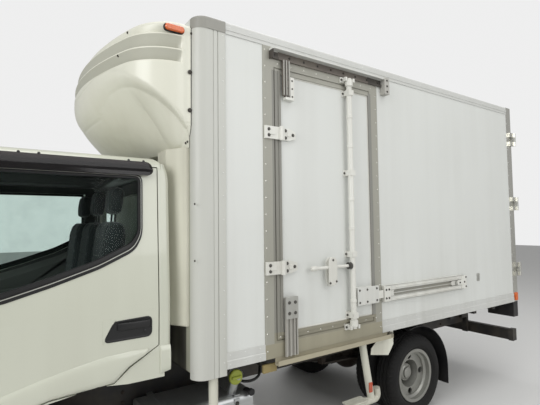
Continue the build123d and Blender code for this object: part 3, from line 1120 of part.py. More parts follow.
SPINDLE_RADIUS = 30
STUB_BACK_Y = KINGPIN_Y + 50
for side_name, side in SIDES:
    with BuildPart() as knuckle:
        rod((FRONT_AXLE_X, side * KINGPIN_Y, 285), (FRONT_AXLE_X, side * KINGPIN_Y, 395), 16)
        for low, high in ((270, 294), (386, 410)):
            rod((FRONT_AXLE_X, side * KINGPIN_Y, low), (FRONT_AXLE_X, side * KINGPIN_Y, high), 36)
            slab((FRONT_AXLE_X - 36, FRONT_AXLE_X + 36), mirrored(KINGPIN_Y, STUB_BACK_Y + 10, side), (low, high))
        slab((FRONT_AXLE_X - 36, FRONT_AXLE_X + 36), mirrored(STUB_BACK_Y - 5, STUB_BACK_Y + 10, side), (270, 410))
        rod((FRONT_AXLE_X, side * STUB_BACK_Y, AXLE_Z), (FRONT_AXLE_X, side * (STUB_BACK_Y + 150), AXLE_Z), SPINDLE_RADIUS)
    knuckle.part.label = f"knuckle_{side_name}"
    export_step(knuckle.part, f"parts/knuckle_{side_name}.step")


def tyre_ring(axle_x, centre_y, radius):
    """A closed tyre: bulging walls, rounded shoulders and a flat tread, turned about its axle."""
    half = TYRE_WIDTH / 2
    seat = RIM_WIDTH / 2 - 6
    with BuildSketch(Plane(origin=(axle_x, centre_y, AXLE_Z), x_dir=(1, 0, 0), z_dir=(0, 0, 1))) as section:
        with BuildLine():
            Line((BEAD_RADIUS + 1, -seat), (BEAD_RADIUS + 1, seat))
            Line((BEAD_RADIUS + 1, seat), (FLANGE_RADIUS + 4, seat))
            ThreePointArc((FLANGE_RADIUS + 4, seat), (275, half), (318, half - 16))
            TangentArc((radius, half - 46), (318, half - 16), tangent=(0, 1))
            Line((radius, half - 46), (radius, -half + 46))
            TangentArc((radius, -half + 46), (318, -half + 16), tangent=(0, -1))
            ThreePointArc((318, -half + 16), (275, -half), (FLANGE_RADIUS + 4, -seat))
            Line((FLANGE_RADIUS + 4, -seat), (BEAD_RADIUS + 1, -seat))
        make_face()
    revolve(section.sketch, axis=Axis((axle_x, centre_y, AXLE_Z), (0, 1, 0)), revolution_arc=360)


def rim_ring(axle_x, centre_y, disc_side):
    """A pressed steel rim with a drop centre, and its disc on the side given."""
    half = RIM_WIDTH / 2
    disc = disc_side * DISC_OFFSET
    with BuildSketch(Plane(origin=(axle_x, centre_y, AXLE_Z), x_dir=(1, 0, 0), z_dir=(0, 0, 1))) as section:
        with BuildLine():
            Polyline((FLANGE_RADIUS, -half), (FLANGE_RADIUS, -half + 6), (BEAD_RADIUS, -half + 6),
                     (BEAD_RADIUS, -half + 40), (BEAD_RADIUS - 18, -half + 50), (BEAD_RADIUS - 18, half - 50),
                     (BEAD_RADIUS, half - 40), (BEAD_RADIUS, half - 6), (FLANGE_RADIUS, half - 6),
                     (FLANGE_RADIUS, half), (BEAD_RADIUS - 7, half), (BEAD_RADIUS - 7, half - 38),
                     (BEAD_RADIUS - 25, half - 50), (BEAD_RADIUS - 25, -half + 50),
                     (BEAD_RADIUS - 7, -half + 38), (BEAD_RADIUS - 7, -half), close=True)
        make_face()
        with BuildLine():
            Polyline((BEAD_RADIUS - 20, 0), (128, disc * 0.05), (110, disc * 0.86), (100, disc), (70, disc),
                     (70, disc - disc_side * DISC_WALL), (93, disc - disc_side * DISC_WALL),
                     (98, disc * 0.8 - disc_side * 6), (116, -disc_side * (DISC_WALL - 2)),
                     (BEAD_RADIUS - 20, -disc_side * DISC_WALL), close=True)
        make_face()
    revolve(section.sketch, axis=Axis((axle_x, centre_y, AXLE_Z), (0, 1, 0)), revolution_arc=360)


def hand_holes(axle_x, side, low_y, high_y):
    """Round holes through the disc, evenly spaced about the hub."""
    for turn in range(HAND_HOLES):
        angle = 2 * math.pi * turn / HAND_HOLES
        centre_x = axle_x + HAND_HOLE_RING * math.cos(angle)
        centre_z = AXLE_Z + HAND_HOLE_RING * math.sin(angle)
        rod((centre_x, side * low_y, centre_z), (centre_x, side * high_y, centre_z), HAND_HOLE_RADIUS,
            mode=Mode.SUBTRACT)


FRONT_HUB = (FRONT_WHEEL_Y - 7, FRONT_WHEEL_Y + 133)
REAR_HUB = (REAR_INNER_Y - 56, REAR_OUTER_Y - 30)
for side_name, side in SIDES:
    with BuildPart() as front_tyre:
        tyre_ring(FRONT_AXLE_X, side * FRONT_WHEEL_Y, TYRE_RADIUS)
    front_tyre.part.label = f"front_tyre_{side_name}"
    export_step(front_tyre.part, f"parts/front_tyre_{side_name}.step")
    with BuildPart() as front_rim:
        rim_ring(FRONT_AXLE_X, side * FRONT_WHEEL_Y, side)
        rod((FRONT_AXLE_X, side * FRONT_HUB[0], AXLE_Z), (FRONT_AXLE_X, side * FRONT_HUB[1], AXLE_Z), HUB_RADIUS)
        rod((FRONT_AXLE_X, side * (FRONT_HUB[0] - 1), AXLE_Z), (FRONT_AXLE_X, side * (FRONT_HUB[1] - 24), AXLE_Z),
            SPINDLE_RADIUS + RUNNING_GAP, mode=Mode.SUBTRACT)
        hand_holes(FRONT_AXLE_X, side, FRONT_WHEEL_Y - 20, FRONT_WHEEL_Y + 40)
    front_rim.part.label = f"front_rim_{side_name}"
    export_step(front_rim.part, f"parts/front_rim_{side_name}.step")
    with BuildPart() as rear_tyres:
        for centre_y in (REAR_OUTER_Y, REAR_INNER_Y):
            tyre_ring(REAR_AXLE_X, side * centre_y, TYRE_RADIUS)
    rear_tyres.part.label = f"rear_tyres_{side_name}"
    export_step(rear_tyres.part, f"parts/rear_tyres_{side_name}.step")
    with BuildPart() as rear_rims:
        rim_ring(REAR_AXLE_X, side * REAR_OUTER_Y, -side)
        rim_ring(REAR_AXLE_X, side * REAR_INNER_Y, side)
        rod((REAR_AXLE_X, side * REAR_HUB[0], AXLE_Z), (REAR_AXLE_X, side * REAR_HUB[1], AXLE_Z), HUB_RADIUS)
        rod((REAR_AXLE_X, side * REAR_HUB[0], AXLE_Z), (REAR_AXLE_X, side * (REAR_HUB[0] + 150), AXLE_Z), DRUM_RADIUS)
        rod((REAR_AXLE_X, side * (REAR_HUB[0] - 1), AXLE_Z), (REAR_AXLE_X, side * (REAR_SPINDLE_END + 6), AXLE_Z),
            REAR_SPINDLE_RADIUS + RUNNING_GAP, mode=Mode.SUBTRACT)
        hand_holes(REAR_AXLE_X, side, REAR_OUTER_Y - 40, REAR_OUTER_Y + 20)
    rear_rims.part.label = f"rear_rims_{side_name}"
    export_step(rear_rims.part, f"parts/rear_rims_{side_name}.step")
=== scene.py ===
# %% [markdown]
# # A refrigerated delivery truck
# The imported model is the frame: every solid and every joint is already in its place, in metres, with
# +X to the rear, +Z up and the kerb side towards -Y. This lesson dresses it. It could be done by
# modelling everything again, but the solids carry the right sizes, so they stay wherever their shape
# is right, and new pieces only bring what solids leave out: tread, bolts, rivets, trim and soft seats.

# %% Load the frame
import math
import bpy
import numpy as np
from mathutils import Matrix, Vector


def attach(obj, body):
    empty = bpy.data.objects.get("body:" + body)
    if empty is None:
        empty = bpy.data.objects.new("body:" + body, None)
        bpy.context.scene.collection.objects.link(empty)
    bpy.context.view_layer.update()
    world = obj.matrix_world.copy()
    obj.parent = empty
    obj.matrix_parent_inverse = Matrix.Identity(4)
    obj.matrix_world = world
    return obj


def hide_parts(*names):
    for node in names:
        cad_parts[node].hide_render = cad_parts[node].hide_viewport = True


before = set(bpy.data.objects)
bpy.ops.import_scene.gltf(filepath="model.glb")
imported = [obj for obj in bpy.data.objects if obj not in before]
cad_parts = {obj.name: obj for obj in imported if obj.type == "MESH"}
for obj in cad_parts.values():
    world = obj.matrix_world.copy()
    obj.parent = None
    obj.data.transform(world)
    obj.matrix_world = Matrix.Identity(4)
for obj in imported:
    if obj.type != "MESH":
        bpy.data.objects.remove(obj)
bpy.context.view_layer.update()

# %% [markdown]
# ## The camera and the light
# The photograph was taken beside the cab, at eye height, looking back along the body. The camera is
# placed from that view: a position, a heading, a slight upward pitch and a small roll.
# Light in the hall is even and comes from above, so one wide soft panel hangs overhead and two
# weaker ones fill the kerb side. Strong lamps would clip the white panels, so all are kept low.

# %% Camera
def place_camera(position, yaw, pitch, roll, focal_pixels, width_pixels):
    """Heading turns from +Y towards +X, then the nose goes up by pitch, then the frame rolls."""
    heading, rise = math.radians(yaw), math.radians(pitch)
    flat = math.cos(rise)
    forward = Vector((math.sin(heading) * flat, math.cos(heading) * flat, math.sin(rise)))
    right = Vector((math.cos(heading), -math.sin(heading), 0))
    above = right.cross(forward)
    turn = Matrix((right, above, -forward)).transposed() @ Matrix.Rotation(math.radians(roll), 3, "Z")
    data = bpy.data.cameras.new("camera")
    data.sensor_width = 36
    data.lens = focal_pixels * data.sensor_width / width_pixels
    data.clip_start, data.clip_end = 0.05, 100
    camera = bpy.data.objects.new("camera", data)
    camera.matrix_world = Matrix.Translation(position) @ turn.to_4x4()
    bpy.context.scene.collection.objects.link(camera)
    bpy.context.scene.camera = camera
    return camera


bpy.context.scene.view_settings.view_transform = "Standard"
camera = place_camera((-1.97, -3.115, 1.649), 34.66, 3.153, -0.651, 411.6, 540)
print("lens:", round(camera.data.lens, 2), "mm")

# %% Lamps
def soft_panel(name, place, target, size, power):
    """A square lamp at a place, turned so that its face looks at the target."""
    data = bpy.data.lights.new(name, "AREA")
    data.shape, data.size, data.energy = "SQUARE", size, power
    lamp = bpy.data.objects.new(name, data)
    lamp.matrix_world = (Matrix.Translation(place)
                         @ (Vector(place) - Vector(target)).to_track_quat("Z", "Y").to_matrix().to_4x4())
    bpy.context.scene.collection.objects.link(lamp)


soft_panel("overhead", (0.5, -1.5, 7.5), (0, 0, 1.5), 7, 300)
soft_panel("kerb_fill", (2.5, -8, 4.2), (0.3, 0, 1.3), 5, 198)
soft_panel("front_fill", (-8, -3.5, 4.2), (-1.5, 0, 1.4), 4.5, 330)
soft_panel("far_fill", (3, 8, 5), (0.5, 0, 1.3), 5, 160)

# %% [markdown]
# ## Writing finishes as sums
# A finish is a small program: noise, masks and ramps that end in a shader. Wired by hand it is hard
# to read, so one class wraps a socket and lets Python's operators add the Math nodes. Everything else
# goes through one method, which takes a node's type, its settings and its inputs.

# %% A socket that can be added and multiplied
class Wire:
    """One output of a node. Sums and products with it add Math nodes."""

    def __init__(self, paint, socket):
        self.paint, self.socket = paint, socket

    def math(self, operation, first, second=None):
        inputs = {0: first} if second is None else {0: first, 1: second}
        return self.paint.add("Math", {"operation": operation}, inputs)

    def __add__(self, other): return self.math("ADD", self, other)
    def __radd__(self, other): return self.math("ADD", other, self)
    def __sub__(self, other): return self.math("SUBTRACT", self, other)
    def __rsub__(self, other): return self.math("SUBTRACT", other, self)
    def __mul__(self, other): return self.math("MULTIPLY", self, other)
    def __rmul__(self, other): return self.math("MULTIPLY", other, self)

    def limited(self):
        return self.paint.add("Clamp", None, {0: self})


class Paint:
    """A material being mixed. add() puts in a node and gives back its result."""

    def __init__(self, name):
        self.material = bpy.data.materials.new(name)
        self.material.use_nodes = True
        self.tree = self.material.node_tree
        self.tree.nodes.clear()
        self.output = self.tree.nodes.new("ShaderNodeOutputMaterial")
        self.place = self.add("TexCoord", out="Object")

    def feed(self, socket, value):
        if isinstance(value, Wire):
            self.tree.links.new(value.socket, socket)
        else:
            socket.default_value = value

    def add(self, kind, settings=None, inputs=None, out=0):
        node = self.tree.nodes.new("ShaderNode" + kind)
        for key, value in (settings or {}).items():
            setattr(node, key, value)
        for key, value in (inputs or {}).items():
            self.feed(node.inputs[key], value)
        return Wire(self, node.outputs[out])

    def stretched(self, scale):
        """Object coordinates, each axis multiplied."""
        return self.add("Mapping", None, {"Vector": self.place, "Scale": scale})

    def noise(self, scale, detail=2.0, stretch=None):
        vector = self.place if stretch is None else self.stretched(stretch)
        return self.add("TexNoise", None, {"Vector": vector, "Scale": scale, "Detail": detail}, out="Fac")

    def span(self, value, low, high, to_low=0.0, to_high=1.0):
        """Carries low..high onto to_low..to_high, held at both ends."""
        return self.add("MapRange", None, {"Value": value, "From Min": low, "From Max": high,
                                           "To Min": to_low, "To Max": to_high})

    def axis(self, letter):
        return self.add("SeparateXYZ", None, {0: self.place}, out=letter)

    def inside(self, limits, soft=0.0006):
        """1 inside a box given as axis: (low, high), and 0 outside: the product of a step up and a step
        down on each axis."""
        mask = 1.0
        for letter, (low, high) in limits.items():
            along = self.axis(letter)
            mask = self.span(along, low - soft, low + soft) * mask
            mask = self.span(along, high - soft, high + soft, 1.0, 0.0) * mask
        return mask

    def blend(self, factor, first, second):
        """A colour that goes from first to second. The Mix node keeps its sockets for colours, two in and
        one out, behind those for numbers and vectors."""
        return self.add("Mix", {"data_type": "RGBA"}, {0: factor, 6: first, 7: second}, out=2)

    def bump(self, height, distance):
        return self.add("Bump", None, {"Height": height, "Distance": distance})

    def shade(self, **sockets):
        """The closing shader, with underscores in the names of its inputs standing for spaces."""
        inputs = {key.replace("_", " "): value for key, value in sockets.items()}
        shader = self.add("BsdfPrincipled", None, inputs)
        self.tree.links.new(shader.socket, self.output.inputs["Surface"])
        return self.material


def rgb(red, green, blue):
    """A colour given as it looks on screen, 0 to 255, turned to the linear values that shaders use."""
    values = np.array([red, green, blue]) / 255
    linear = np.where(values <= 0.04045, values / 12.92, ((values + 0.055) / 1.055) ** 2.4)
    return (*linear.tolist(), 1.0)


print("white panel as a linear colour:", [round(c, 3) for c in rgb(226, 227, 222)[:3]])

# %% [markdown]
# ## Painted panels
# The cab is sprayed steel: a clear glossy coat with a faint orange-peel ripple, and dust that gathers
# low down. The insulated box is gel-coated board: matt, very slightly wavy, with grey wash marks that
# run down it. Both are the same recipe with other numbers, so one function mixes them.

# %% Painted and gel-coated finishes
def zone(colour, roughness, **limits):
    """A colour and a roughness, and the box they fill, as X=(low, high), Y and Z."""
    return colour, roughness, limits


def painted(name, colour, grime, roughness, coat, ripple, grime_level, low_z=0.0, high_z=1.0, zones=()):
    """Colour, fading to grime by noise and towards the ground; a fine ripple; a clear coat. Zones are
    for a solid that has several finishes, and for painted shade on parts of a solid."""
    paint = Paint(name)
    for zone_colour, zone_roughness, limits in zones:
        mask = paint.inside(limits)
        colour = paint.blend(mask, colour, zone_colour)
        roughness = roughness * (1 - mask) + mask * zone_roughness
    blotches = paint.noise(1.3, 4.0)
    streaks = paint.noise(9.0, 3.0, (1, 1, 0.06))
    low = paint.span(paint.axis("Z"), low_z, high_z, 1.0, 0.0)
    dirt = paint.span(blotches * 0.45 + streaks * 0.55, 0.42, 0.78) * (0.35 + low * 0.65) * grime_level
    specks = paint.span(paint.noise(140.0, 2.0), 0.7, 0.8) * 0.25
    tone = paint.blend((dirt + specks * grime_level).limited(), colour, grime)
    surface = paint.noise(ripple[0], 2.0)
    fine = paint.noise(ripple[0] * 9, 1.0)
    return paint.shade(Base_Color=tone, Roughness=roughness + dirt * 0.3 + (fine - 0.5) * 0.06,
                       Coat_Weight=coat, Coat_Roughness=0.05,
                       Normal=paint.bump(surface + fine * 0.08, ripple[1]))


# the cab's inner faces, which are part of its painted solids, are lined in grey
CAB_LINING = rgb(46, 47, 46)
lining_zones = [zone(CAB_LINING, 0.85, X=(-2.33, -1.1745), Y=(-0.7878, 0.7878), Z=(0.6, 1.9)),
                zone(CAB_LINING, 0.85, X=(-2.1, -1.1745), Y=(-0.765, 0.765), Z=(1.9, 2.0134))]
finishes = {}


def mix(recipe, rows):
    """Adds finishes: each row gives a key, the material's name, two colours and the recipe's numbers."""
    for key, name, colour, second, *numbers in rows:
        finishes[key] = recipe(name, rgb(*colour), rgb(*second), *numbers)


mix(painted, [
    ("cab_white", "cab_paint", (193, 195, 180), (150, 146, 130), 0.32, 0.6, (60.0, 0.00012), 0.35, 0.0,
     1.0, lining_zones),
    ("panel_white", "box_board", (209, 211, 207), (168, 167, 158), 0.42, 0.08, (2.2, 0.0011), 0.45, 0.8,
     1.6),
    ("unit_cream", "unit_moulding", (236, 236, 222), (178, 174, 154), 0.36, 0.25, (18.0, 0.0003), 0.35,
     2.0, 2.5),
    ("bumper_white", "bumper_paint", (222, 222, 214), (128, 124, 112), 0.38, 0.4, (60.0, 0.0002), 0.8),
    ("guard_white", "guard_paint", (214, 214, 200), (120, 112, 96), 0.42, 0.1, (90.0, 0.0003), 1.0)])
print("painted finishes:", sorted(finishes))

# %% [markdown]
# ## Bare metal
# The door frame is extruded aluminium and galvanised steel. Brushed metal catches light along its
# grain, so the noise is drawn out along one axis, and a second, larger noise clouds it. Water stains
# and dust dull it in patches, which keeps it from looking like chrome.

# %% Metals
def metal(name, colour, stain, roughness, grain, grain_stretch, stain_level, metallic=1.0, dent=0.00006):
    """Grain lines drawn out along an axis, clouded by a wide noise and dulled by stains."""
    paint = Paint(name)
    lines = paint.noise(grain, 3.0, grain_stretch)
    clouds = paint.noise(5.0, 5.0)
    patches = paint.span(paint.noise(3.1, 4.0, (1, 1, 0.35)), 0.44, 0.7) * stain_level
    tone = paint.blend((patches + (lines - 0.5) * 0.3).limited(), colour, stain)
    return paint.shade(Base_Color=tone, Metallic=metallic - patches * metallic * 0.45,
                       Roughness=roughness + (clouds - 0.5) * 0.16 + patches * 0.22,
                       Normal=paint.bump(lines, dent))


mix(metal, [
    ("rail_aluminium", "door_frame_metal", (186, 187, 180), (150, 148, 136), 0.42, 60.0, (1, 1, 0.04),
     0.5, 0.72),
    ("stainless", "stainless", (214, 213, 205), (140, 134, 118), 0.26, 90.0, (0.05, 1, 1), 0.35, 0.95),
    ("tank_steel", "tank_steel", (176, 178, 178), (84, 78, 68), 0.38, 40.0, (0.1, 1, 1), 0.8, 0.9),
    ("rim_steel", "rim_steel", (150, 150, 144), (84, 80, 72), 0.44, 50.0, (1, 0.2, 1), 0.7, 0.55, 0.0001),
    ("cast_metal", "cast_metal", (74, 72, 68), (56, 44, 34), 0.62, 120.0, (1, 1, 1), 0.8, 0.6, 0.0005)])
print("finishes so far:", len(finishes))

# %% [markdown]
# ## Plastics, rubber, cloth and glass
# These differ in their small relief: moulded plastic has a leather grain, rubber is dull with pale
# dust in it, seat cloth has a weave. The relief comes from cell noise at the true scale, about two
# millimetres for a dash panel and half of that for cloth.

# %% Moulded plastic and rubber
def moulded(name, colour, dust, roughness, cell, depth, dust_level, high_z=1.2):
    """Cell noise for the grain, and dust that thickens towards the ground."""
    paint = Paint(name)
    grain = paint.add("TexVoronoi", None, {"Vector": paint.place, "Scale": cell}, out="Distance")
    clouds = paint.noise(6.0, 4.0)
    low = paint.span(paint.axis("Z"), 0.0, high_z, 1.0, 0.15)
    veil = paint.span(clouds, 0.38, 0.72) * low * dust_level
    return paint.shade(Base_Color=paint.blend(veil.limited(), colour, dust),
                       Roughness=roughness + veil * 0.25 + (grain - 0.5) * 0.08,
                       Normal=paint.bump(grain, depth))


mix(moulded, [
    ("chassis_black", "chassis_paint", (30, 29, 28), (92, 82, 68), 0.5, 300.0, 0.0001, 0.7),
    ("evaporator_grey", "evaporator_skin", (205, 207, 206), (150, 150, 146), 0.5, 500.0, 0.00006, 0.2),
    ("cab_inner", "cab_lining", (86, 86, 83), (104, 102, 96), 0.72, 620.0, 0.00018, 0.3, 3.0),
    ("dash_plastic", "dash_plastic", (46, 48, 50), (84, 84, 82), 0.6, 560.0, 0.0002, 0.2, 3.0),
    ("mirror_black", "mirror_shell", (20, 20, 22), (70, 68, 64), 0.42, 700.0, 0.00012, 0.15, 3.0),
    ("seal_rubber", "seal_rubber", (17, 17, 18), (70, 68, 62), 0.62, 900.0, 0.00006, 0.15, 3.0),
    ("tyre", "tyre_rubber", (7, 7, 7), (34, 31, 28), 0.84, 420.0, 0.00012, 0.6, 0.75)])

# %% Seat cloth
def seat_cloth(name, colour, thread):
    """Two sets of fine bands, across and along, make a weave; a wide noise fades it where it is worn."""
    paint = Paint(name)
    across = paint.add("TexWave", {"wave_type": "BANDS", "bands_direction": "Y"},
                       {"Vector": paint.place, "Scale": 190.0, "Distortion": 0.6}, out="Fac")
    along = paint.add("TexWave", {"wave_type": "BANDS", "bands_direction": "DIAGONAL"},
                      {"Vector": paint.stretched((1, 0.02, 1)), "Scale": 190.0, "Distortion": 0.6},
                      out="Fac")
    weave = across * along
    worn = paint.span(paint.noise(4.0, 3.0), 0.4, 0.7)
    tone = paint.blend((weave * 0.6 + worn * 0.3).limited(), colour, thread)
    return paint.shade(Base_Color=tone, Roughness=0.88 - worn * 0.08, Sheen_Weight=0.25,
                       Normal=paint.bump(weave + paint.noise(400.0, 1.0) * 0.4, 0.0003))


finishes["seat_fabric"] = seat_cloth("seat_cloth", rgb(27, 32, 34), rgb(42, 49, 51))

# %% Glass and lamp lenses
def clear_glass(name, face, tint, roughness, see_through, ripple=0.0, cells=0.0):
    """A thin sheet: mostly seen through a tint, the rest a glossy face, with faint dust on it."""
    paint = Paint(name)
    film = paint.span(paint.noise(7.0, 5.0), 0.45, 0.8)
    inputs = {"Base Color": face, "Roughness": roughness + film * 0.08, "Specular IOR Level": 0.6}
    if cells:
        flutes = paint.add("TexWave", {"wave_type": "BANDS", "bands_direction": "Y"},
                           {"Vector": paint.place, "Scale": cells}, out="Fac")
        inputs["Normal"] = paint.bump(flutes, ripple)
    skin = paint.add("BsdfPrincipled", None, inputs)
    gap = paint.add("BsdfTransparent", None, {"Color": tint})
    both = paint.add("MixShader", None, {0: see_through - film * 0.06, 1: skin, 2: gap})
    paint.tree.links.new(both.socket, paint.output.inputs["Surface"])
    return paint.material


mix(clear_glass, [
    ("glass", "window_glass", (16, 20, 20), (244, 250, 248), 0.03, 0.955),
    ("smoked", "smoked_sheet", (26, 24, 25), (150, 142, 146), 0.08, 0.55),
    ("lamp_glass", "headlamp_lens", (206, 212, 214), (226, 230, 230), 0.06, 0.35, 0.0012, 60.0)])

# %% Coloured lamp lenses
def lens(name, colour, deep):
    """Coloured plastic with small square prisms moulded behind it."""
    paint = Paint(name)
    prisms = paint.add("TexVoronoi", {"distance": "CHEBYCHEV"}, {"Vector": paint.place, "Scale": 130.0},
                       out="Distance")
    return paint.shade(Base_Color=paint.blend(prisms, colour, deep), Roughness=0.16 + prisms * 0.1,
                       Coat_Weight=0.6, Normal=paint.bump(prisms, 0.0006))


mix(lens, [("lamp_red", "red_lens", (168, 22, 18), (110, 8, 8)),
           ("amber_lens", "amber_lens", (222, 104, 16), (168, 62, 8)),
           ("clear_lens", "pale_lens", (214, 216, 214), (150, 154, 156))])
print("finishes in all:", len(finishes))

# %% [markdown]
# ## Giving the solids their finishes
# Each solid carries the name of its finish from the record, so a loop over the nodes can hand them
# out. Where a lamp or a moulding is one solid, it gets one finish here, and its small parts are added.

# %% Hand the finishes out
def plain_name(material):
    return material.name.split(".")[0]


unfinished = set()
for node_name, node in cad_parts.items():
    for slot in node.material_slots:
        key = plain_name(slot.material)
        if key in finishes:
            slot.material = finishes[key]
        else:
            unfinished.add(key)
print("finishes without a recipe:", sorted(unfinished))

# %% [markdown]
# Some solids are built from parts that were painted apart: the edge rails are white with grey posts and
# darker plastic caps, and the sliding gear has a brown hanger arm and a grey lower bracket. Splitting
# them would change the model, so each gets a finish of its own with boxes of colour in it. Some of the
# boxes are painted shade: the grooves beside the side door's leaf, the top rail's slot, the rail under
# the skirt and the front wall behind the cab.

# %% Solids with several colours
POST_FRONT, POST_REAR, CAP_FOOT = -1.2, -0.7905, 2.8215
mix(painted, [
    ("box_edge_rails", "edge_rails", (195, 196, 192), (150, 149, 140), 0.4, 0.1, (30.0, 0.0002), 0.5, 0.8,
     1.5,
     [zone(rgb(190, 191, 184), 0.46, X=(POST_FRONT, POST_REAR), Z=(0.7, CAP_FOOT)),
      zone(rgb(142, 141, 134), 0.58, X=(POST_FRONT, POST_REAR), Z=(CAP_FOOT, 3.0))]),
    ("side_door_frame", "door_frame", (154, 153, 143), (122, 119, 104), 0.48, 0.06, (40.0, 0.0002), 0.5,
     0.8, 2.2,
     # painted shade: the strips beside the leaf's two edges are darker, for the grooves between frame and
     # leaf
     [zone(rgb(128, 127, 120), 0.42, X=(-0.45, -0.3795), Z=(0.925, 2.668)),
      zone(rgb(132, 131, 126), 0.42, X=(0.459, 0.497), Z=(0.925, 2.668)),
      zone(rgb(136, 132, 116), 0.5, X=(-0.45, 0.5), Z=(0.9, 0.9655)),
      zone(rgb(150, 145, 125), 0.5, X=(-0.6, 0.6), Z=(0.7, 0.9))]),
    ("side_door_gear", "door_gear", (216, 216, 209), (140, 134, 120), 0.4, 0.1, (70.0, 0.0002), 0.7, 0.8,
     1.8,
     [zone(rgb(98, 91, 84), 0.55, X=(-0.38, -0.318), Y=(-1.0, -0.957), Z=(2.495, 2.745)),
      zone(rgb(160, 158, 151), 0.5, X=(-0.38, -0.278), Y=(-1.0, -0.9), Z=(0.8, 1.188)),
      zone(rgb(24, 24, 25), 0.5, X=(0.177, 0.205), Y=(-1.02, -0.95), Z=(1.32, 1.38))]),
    ("side_door_rails", "door_rails", (206, 207, 202), (150, 144, 128), 0.44, 0.06, (70.0, 0.0002), 0.7,
     0.8, 1.8,
     # painted shade: the top rail's slot is painted a dark brown-grey, darkest towards its right end
     [zone(rgb(92, 85, 78), 0.6, X=(-0.4, 0.46), Y=(-0.995, -0.952), Z=(2.738, 2.7945)),
      zone(rgb(44, 40, 37), 0.6, X=(0.459, 0.615), Y=(-0.995, -0.952), Z=(2.738, 2.7945)),
      zone(rgb(56, 51, 47), 0.6, X=(-0.475, -0.399), Y=(-1.0, -0.94), Z=(2.7, 2.79)),
      zone(rgb(172, 171, 165), 0.5, X=(0.614, 0.68), Y=(-1.0, -0.94), Z=(2.66, 2.83)),
      zone(rgb(206, 206, 200), 0.46, X=(0.569, 1.7), Y=(-0.975, -0.94), Z=(1.04, 1.175)),
      zone(rgb(150, 149, 141), 0.6, X=(0.62, 1.66), Y=(-0.9525, -0.94), Z=(1.083, 1.133)),
      # the rail under the skirt: a tan tone, darkened further as painted shade beneath the skirt
      zone(rgb(164, 157, 134), 0.62, X=(-0.45, 0.67), Y=(-0.99, -0.93), Z=(0.76, 0.815)),
      zone(rgb(34, 33, 32), 0.55, X=(0.629, 0.667), Y=(-0.98, -0.94), Z=(0.7715, 0.81))]),
    ("pipe_cover", "pipe_cover", (208, 207, 191), (132, 126, 108), 0.46, 0.05, (20.0, 0.0003), 0.9, 0.4,
     2.8),
    # painted shade: the front wall is darker than the side board, for the shade behind the cab, and its
    # middle below 1.066 m is a near-black painted shadow between cab and wall
    ("box_front_wall", "front_wall", (156, 157, 142), (140, 137, 122), 0.46, 0.05, (12.0, 0.0005), 0.8,
     0.6, 3.2, [zone(rgb(60, 59, 54), 0.7, Y=(-0.815, 0.815), Z=(0.7, 1.066))]),
    ("rear_door_gear_left", "rear_gear", (166, 166, 160), (112, 108, 98), 0.42, 0.1, (70.0, 0.0002), 0.6,
     0.8, 1.8)])
mix(moulded, [
    ("side_door_seal", "pale_seal", (206, 205, 198), (150, 147, 136), 0.6, 700.0, 0.00008, 0.5, 3.0),
    ("lamps", "lamp_shells", (26, 26, 27), (84, 80, 72), 0.5, 400.0, 0.0001, 0.5, 1.2)])
finishes["rear_door_gear_right"] = finishes["rear_door_gear_left"]
OWN_FINISH = ("box_edge_rails", "side_door_frame", "side_door_gear", "side_door_rails", "side_door_seal",
              "pipe_cover", "box_front_wall", "rear_door_gear_left", "rear_door_gear_right", "lamps")
for node_name in OWN_FINISH:
    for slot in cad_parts[node_name].material_slots:
        slot.material = finishes[node_name]
print("solids with a finish of their own:", len(OWN_FINISH))

# %% [markdown]
# ## Shapes from arrays
# New pieces are skins over rings of points: a rivet is a few circles that close to a dome, a plate is
# a few rounded rectangles, a tyre is one outline carried round the axle. A shape is kept as points,
# quads and triangles until it is finished, so copies and mirror images are sums on whole arrays.

# %% Rings to skins
def skin(rings, around=True, along=False, caps=True):
    """Rings of points, level by level: every cell of the grid becomes a quad, and each open end is
    closed by a fan about the middle of its ring."""
    rings = np.asarray(rings, float)
    levels, count = rings.shape[:2]
    index = np.arange(levels * count).reshape(levels, count)
    if along:
        index = np.vstack([index, index[:1]])
    near = index if around else index[:, :-1]
    far = np.roll(index, -1, 1) if around else index[:, 1:]
    quads = np.stack([near[:-1], far[:-1], far[1:], near[1:]], -1).reshape(-1, 4)
    points = rings.reshape(-1, 3)
    tris = np.zeros((0, 3), int)
    if caps and around and not along:
        first, last = np.arange(count), np.arange(count) + (levels - 1) * count
        start, end = len(points), len(points) + 1
        points = np.vstack([points, rings[0].mean(0), rings[-1].mean(0)])
        tris = np.vstack([np.stack([np.roll(first, -1), first, np.full(count, start)], 1),
                          np.stack([last, np.roll(last, -1), np.full(count, end)], 1)])
    return outward((points, quads, tris))


def outward(shape):
    """Turns all faces round when the signed volume they enclose is negative."""
    points, quads, tris = shape
    all_tris = np.vstack([quads[:, [0, 1, 2]], quads[:, [0, 2, 3]], tris]) if len(quads) else tris
    corners = points[all_tris] - points.mean(0)
    volume = np.einsum("ij,ij->i", corners[:, 0], np.cross(corners[:, 1], corners[:, 2])).sum()
    return shape if volume >= 0 else (points, quads[:, ::-1], tris[:, ::-1])


def joined(*shapes):
    """Several shapes as one: the faces' numbers move up by the points before them."""
    starts = np.cumsum([0] + [len(points) for points, quads, tris in shapes[:-1]])
    return (np.vstack([shape[0] for shape in shapes]),
            np.vstack([shape[1] + start for shape, start in zip(shapes, starts)]),
            np.vstack([shape[2] + start for shape, start in zip(shapes, starts)]))


def copies(shape, places):
    """The same shape at each place: one sum for all points, one for all faces."""
    points, quads, tris = shape
    places = np.asarray(places, float)
    moved = (points[None] + places[:, None]).reshape(-1, 3)
    steps = (np.arange(len(places)) * len(points))[:, None, None]
    return moved, (quads[None] + steps).reshape(-1, 4), (tris[None] + steps).reshape(-1, 3)


